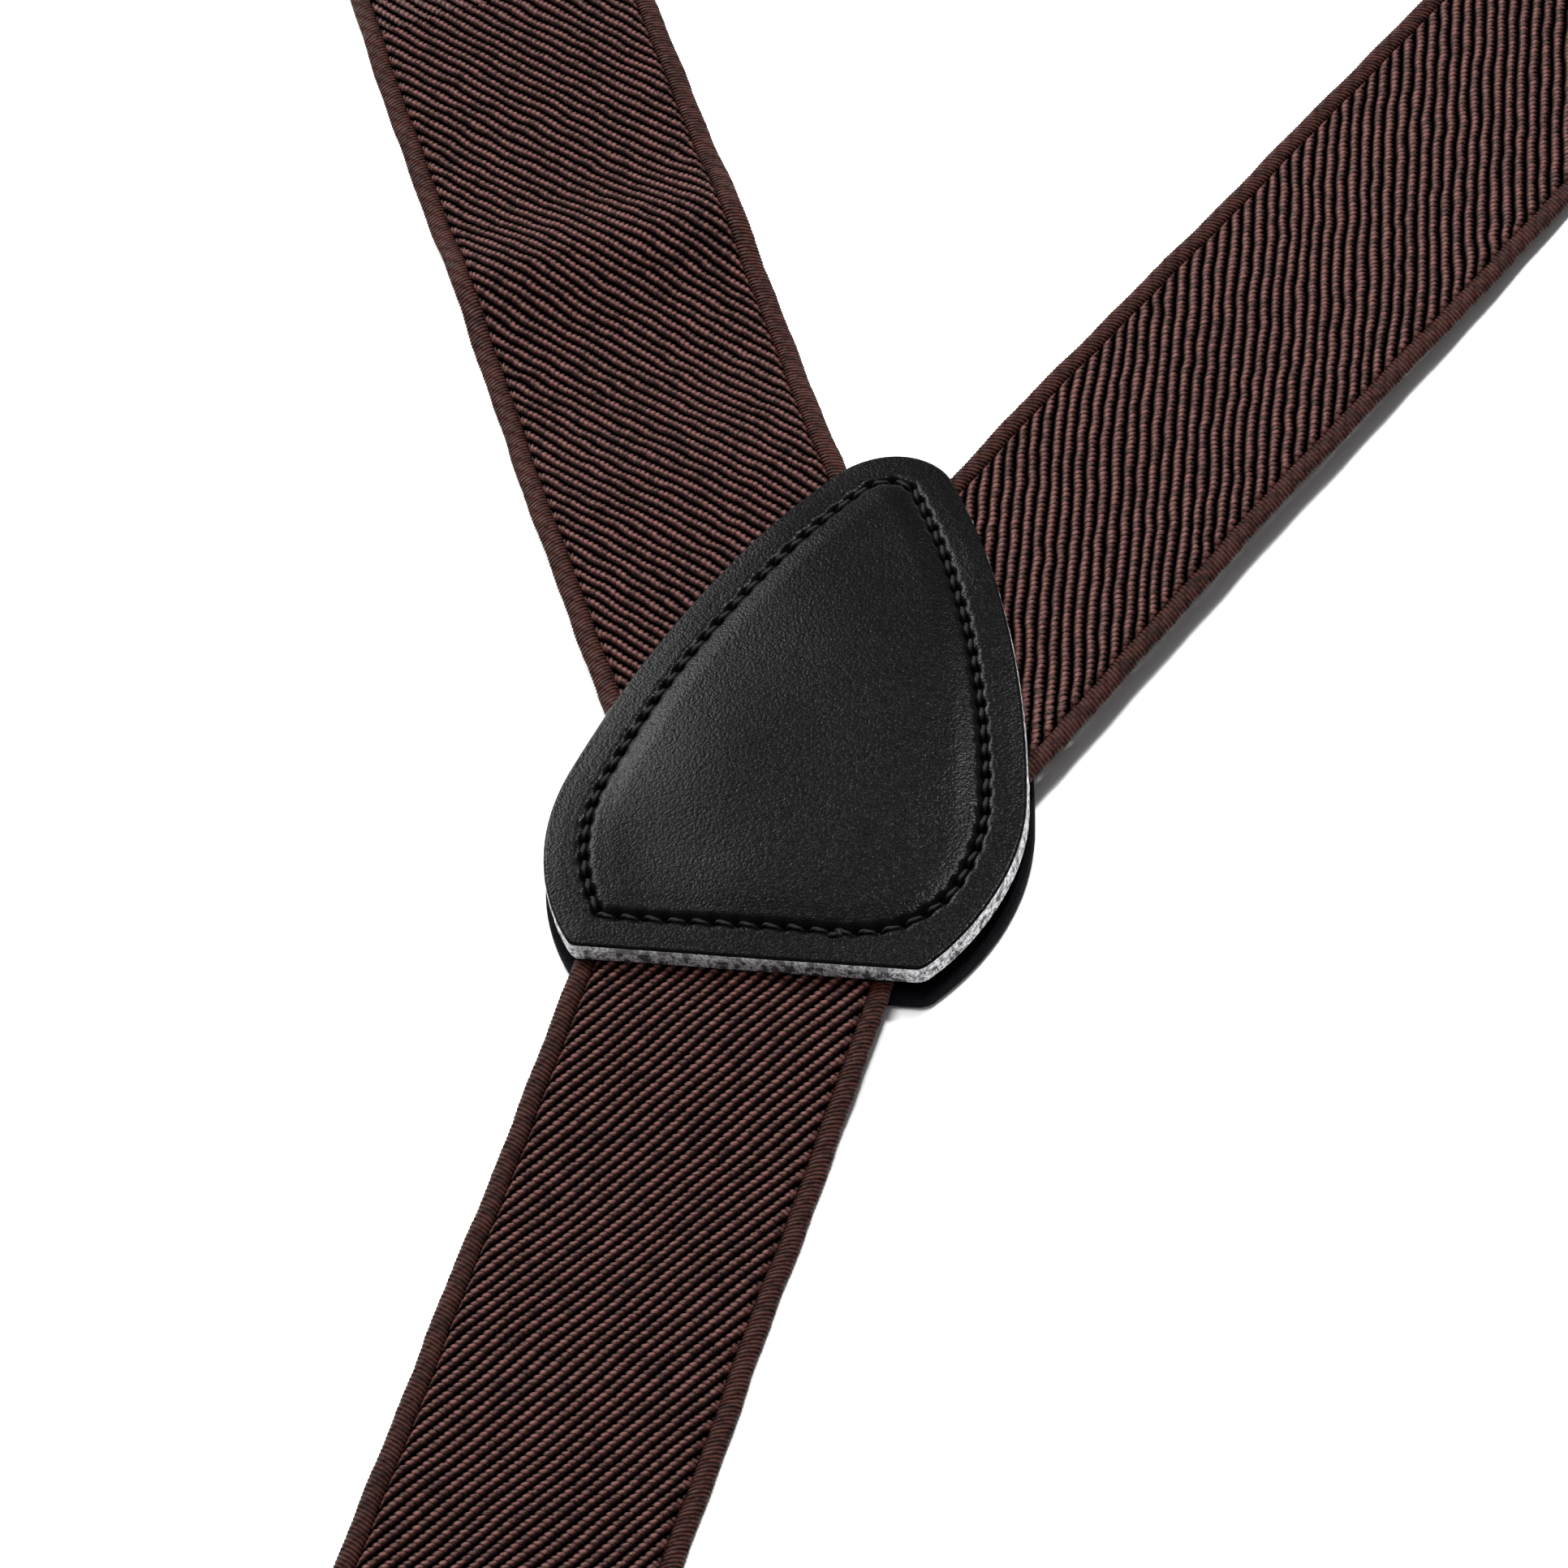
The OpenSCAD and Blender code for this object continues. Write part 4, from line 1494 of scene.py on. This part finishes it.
@dataclass
class Strap:
    """One strap of the suspenders, with its tail, its loop and its stitches."""

    side: Side
    finishes: Finishes
    bar_to_pin: float = 38.0
    adjuster_to_pin: float = 8.5
    bed_z: float = 4.3
    tail_z: float = 2.95
    over_bar: float = 2.8
    plate: float = 1.5
    fold_r: float = 1.4
    past_bar: float = 3.3
    tail: float = 32.0
    back_tail: float = 24.0
    inner: float = -16.0
    back_inner: float = 23.5
    near: float = 131.0
    free_from: float = 45.0
    lap: float = 0.1
    crease: float = 1.5
    box: tuple[float, float] = (27.0, 10.0)
    stitch: float = 2.6

    def __post_init__(self) -> None:
        """Find the strap's line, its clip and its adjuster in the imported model."""
        s = self.side.value
        self.shoulder = self.side is not Side.BACK
        joint = f"{s}_adjuster_slide" if self.shoulder else "back_strap_stretch"
        axis = next(j["axis"] for j in frame["joints"] if j["name"] == joint)
        self.way = Vector(axis)
        self.clip = self._along(f"{s}_clip_pin") - self.bar_to_pin
        pin = self._middle(f"{s}_clip_pin")
        self.offset = pin.x - pin.y / self.way.y * self.way.x
        self.adjuster = self._along(f"{s}_adjuster_pin") + self.adjuster_to_pin if self.shoulder else 0.0
        self.webbing = Webbing(self.finishes.webbing[self.side], self.side.slant)
        self.placed = Matrix((
            (self.way.y, self.way.x, 0, self.offset),
            (-self.way.x, self.way.y, 0, 0),
            (0, 0, 1, 0),
            (0, 0, 0, 1),
        ))

    @property
    def drop(self) -> tuple[float, float, float]:
        """Height of its underside in the yoke, and where it leaves that and meets the table."""
        return {Side.LEFT: (1.65, 34, 62), Side.RIGHT: (3.1, 40, 150), Side.BACK: (1.65, 40, 68)}[self.side]

    @staticmethod
    def _middle(node: str) -> Vector:
        """Return the middle of a node's box, in millimetres."""
        low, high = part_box(node)
        return (Vector(low) + Vector(high)) / 2 / MM

    def _along(self, node: str) -> float:
        """Return how far along the strap a node's middle is."""
        return self._middle(node).y / self.way.y

    def height(self, y: Array) -> Array:
        """Height of the main ply's underside.

        It lies on the leather or on the other strap in the yoke, comes down to the table, and
        rises again over the adjuster's bed, on its own tail and loop, and over the clip's bar,
        each as a smooth step. The left strap has one low bell across it, a shallow crease.

        Args:
            y: Distances along the strap.

        Returns:
            Heights in millimetres.
        """
        c, a = self.clip, self.adjuster
        lift, leave, touch = self.drop
        z = lift * (1 - smooth(y, leave, touch))
        if self.side is Side.BACK:
            z = z + self.plate * smooth(y, c - 44, c - 27)
            return z + (self.over_bar - self.plate) * smooth(y, c - 12, c - 3)
        if self.side is Side.LEFT:
            z = z + self.crease * bell(y, 82, 8)
        z = z + self.bed_z * smooth(y, a - 45, a - 14)
        z = z - (self.bed_z - self.tail_z) * smooth(y, a + 13, a + self.tail + 1)
        z = z - (self.tail_z - self.plate) * smooth(y, a + self.tail + 1, a + self.tail + 14)
        return z + (self.over_bar - self.plate) * smooth(y, c - 14, c - 3)

    def main(self, start: float, end: float) -> Path:
        """Lay out the main ply.

        Args:
            start: Distance along the strap where it starts.
            end: Distance where it ends.

        Returns:
            Its middle line, half the webbing's thickness above its underside.
        """
        y = np.linspace(start, end, max(12, int((end - start) / 0.5)))
        return Path(np.stack([y, self.height(y) + self.webbing.half_t], 1), start)

    def loop(self) -> Path:
        """Lay out the return ply.

        Returns:
            A half turn round the clip's bar, and a straight run back under the strap.
        """
        bar = self.clip + self.past_bar
        fold = arc((bar, self.fold_r + self.webbing.half_t), self.fold_r, 90, -90)
        end = self.adjuster + 12 if self.shoulder else self.clip - self.back_tail
        flat = np.linspace(bar, end, 200)[1:]
        return Path(np.vstack([fold, np.stack([flat, np.full(len(flat), self.webbing.half_t)], 1)]))

    def sewn_end(self) -> Path:
        """Lay out the shoulder strap's tail.

        Returns:
            A half turn round the adjuster's bar, and a run back that settles onto the loop.
        """
        a, bar = self.adjuster, self.adjuster + 9
        fold = arc((bar, self.fold_r + self.webbing.half_t), self.fold_r, -90, -270)
        y = np.linspace(bar + 3.5, a + self.tail, 90)
        z = 3.5 - 1.35 * smooth(y, a + 12.5, a + 17)
        lead = np.array([[a + 12, self.webbing.half_t]])
        return Path(np.vstack([lead, fold, np.stack([y, z], 1)]))

    def lay(self, part: str, path: Path, node: str, bodies: tuple[str, ...],
            span: tuple[float, ...] = (), fine: float = 0.0) -> None:
        """Make one length of webbing, let it ride on its body or leave it fixed in place, and hide its
        plain solid.

        Args:
            part: Which length of the strap it is.
            path: Its middle line.
            node: The plain solid that it stands for, after the side's name.
            bodies: One body to ride on, or two, in which case it rides on neither and stays in place.
            span: Not used.
            fine: See Webbing.strip.
        """
        side = self.side.value
        piece = self.webbing.strip(f"{side}_{part}", path, self.placed, fine)
        if len(bodies) == 1:
            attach(piece, bodies[0])
        else:
            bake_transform(piece)
        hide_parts(f"{side}_{node}")
        LOG.info("made %s, %.0f mm, %d faces", piece.name, path.length, len(piece.data.polygons))

    def build(self) -> None:
        """Make every length of webbing of this strap, and its stitches."""
        clip, c = f"{self.side.value}_clip", self.clip
        body = f"{self.side.value}_adjuster" if self.shoulder else clip
        first, fine = (self.inner, 26.0) if self.shoulder else (self.back_inner, 8.0)
        # The run ends in the adjuster, or just past the back clip's bar
        a = self.adjuster
        last, loose = (a, a - self.free_from) if self.shoulder else (c + 3, c - 25)
        span = (self.free_from, loose)
        self.lay("strap_near", self.main(first, self.near), "strap", ("yoke", body), span, fine)
        self.lay("strap_run", self.main(self.near - self.lap, last), "strap", ("yoke", body), span)
        if self.shoulder:
            span = (a + 35, c - 15)
            self.lay("strap_front", self.main(a - self.lap, c + 3), "strap", (body, clip), span)
            self.lay("return_ply", self.loop(), "strap_loop", (body, clip), span)
            self.lay("sewn_end", self.sewn_end(), "strap_tail", (body,))
            self.sew(a + self.tail - 13, 2.85, body)
        else:
            self.lay("strap_end", self.loop(), "strap_tail", (clip,))
            self.sew(c - self.back_tail + 1.5, self.plate + 2 * self.webbing.half_t, clip)

    def sew(self, start: float, seat: float, body: str) -> None:
        """Sew a box of stitches and let it ride on a body.

        Args:
            start: Distance along the strap where the box starts.
            seat: Height of the webbing under the thread.
            body: The body.
        """
        shell = Shell()
        marks = box_marks(*self.box, start, self.stitch)
        Needle(self.stitch).sew(shell, *marks, lambda line: np.full(len(line), seat))
        piece = shell.build(f"{self.side.value}_box_stitch", [self.finishes.thread], self.placed)
        close_up(piece)
        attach(piece, body)
        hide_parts(f"{self.side.value}_tail_stitching")
        LOG.info("made %s, %d faces", piece.name, len(piece.data.polygons))


def box_marks(width: float, length: float, start: float, pitch: float) -> tuple[Array, Array]:
    """Space stitches evenly round a box, in a strap's frame.

    Args:
        width: Its size across the strap.
        length: Its size along the strap.
        start: Distance along the strap where it starts.
        pitch: Rough distance between stitches.

    Returns:
        Middles and directions of the stitches.
    """
    corners = np.array([[-1, 0], [1, 0], [1, 1], [-1, 1], [-1, 0]]) * [width / 2, length] + [0, start]
    mids, ways = [], []
    for a, b in zip(corners[:-1], corners[1:]):
        edge = float(np.linalg.norm(b - a))
        count = round(edge / pitch)
        share = (np.arange(count) + 0.5)[:, None] / count
        mids.append(a + (b - a) * share)
        ways.append(np.repeat(((b - a) / edge)[None, :], count, 0))
    return np.vstack(mids), np.vstack(ways)


# ---------------------------------------------------------------- metal and plastic


@dataclass
class Hardware:
    """Clips and adjusters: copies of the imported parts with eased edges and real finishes."""

    finishes: Finishes
    ease: float = 0.22
    flat_angle: float = 0.6
    crease_angle: float = 35.0
    eased_angle: float = 40.0

    def piece(self, node: str, name: str, body: str, part: Part) -> None:
        """Ease a part's edges and put it in the plain one's place.

        Args:
            node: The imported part.
            name: Name of the new piece.
            body: Body that it rides on.
            part: Its material slot.
        """
        mesh = frame["nodes"][node].data.copy()
        mesh.name = name
        work = bmesh.new()
        work.from_mesh(mesh)
        bmesh.ops.remove_doubles(work, verts=work.verts, dist=1e-6)
        flat = math.radians(self.flat_angle)
        bmesh.ops.dissolve_limit(work, angle_limit=flat, verts=work.verts, edges=work.edges)
        work.to_mesh(mesh)
        work.free()
        mesh.materials.clear()
        mesh.materials.append(self.finishes.nickel if part is Part.NICKEL else self.finishes.plastic)
        mesh.polygons.foreach_set("material_index", np.zeros(len(mesh.polygons), np.int32))
        mesh.shade_smooth()
        mesh.set_sharp_from_angle(angle=math.radians(self.crease_angle))
        copy = bpy.data.objects.new(name, mesh)
        bpy.context.scene.collection.objects.link(copy)
        bevel = copy.modifiers.new("eased edges", "BEVEL")
        bevel.width, bevel.segments = self.ease * MM, 2
        bevel.limit_method, bevel.angle_limit = "ANGLE", math.radians(self.eased_angle)
        bevel.harden_normals = True
        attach(copy, body)
        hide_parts(node)
        LOG.info("made %s", name)

    def build(self) -> None:
        """Make every clip and both adjusters."""
        for side in Side:
            clip = f"{side.value}_clip"
            lever = f"{clip}_lever"
            self.piece(f"{clip}_base", f"{clip}_plate", clip, Part.NICKEL)
            self.piece(f"{clip}_pin", f"{clip}_rivet", clip, Part.NICKEL)
            self.piece(f"{clip}_liner", f"{clip}_teeth", clip, Part.PLASTIC)
            self.piece(lever, f"{clip}_cover", lever, Part.NICKEL)
            self.piece(f"{clip}_grip", f"{clip}_bite", lever, Part.PLASTIC)
        for side in (Side.LEFT, Side.RIGHT):
            body = f"{side.value}_adjuster"
            lever = f"{body}_lever"
            self.piece(f"{body}_frame", f"{body}_bed", body, Part.NICKEL)
            self.piece(f"{body}_pin", f"{body}_rivet", body, Part.NICKEL)
            self.piece(lever, f"{body}_cover", lever, Part.NICKEL)


def main() -> None:
    """Build the suspenders and their studio."""
    logging.basicConfig(level=logging.INFO, format="%(message)s")
    Studio().build()
    finishes = Finishes.make()
    Yoke(finishes).build()
    for side in Side:
        Strap(side, finishes).build()
    Hardware(finishes).build()


if __name__ == "__main__":
    main()
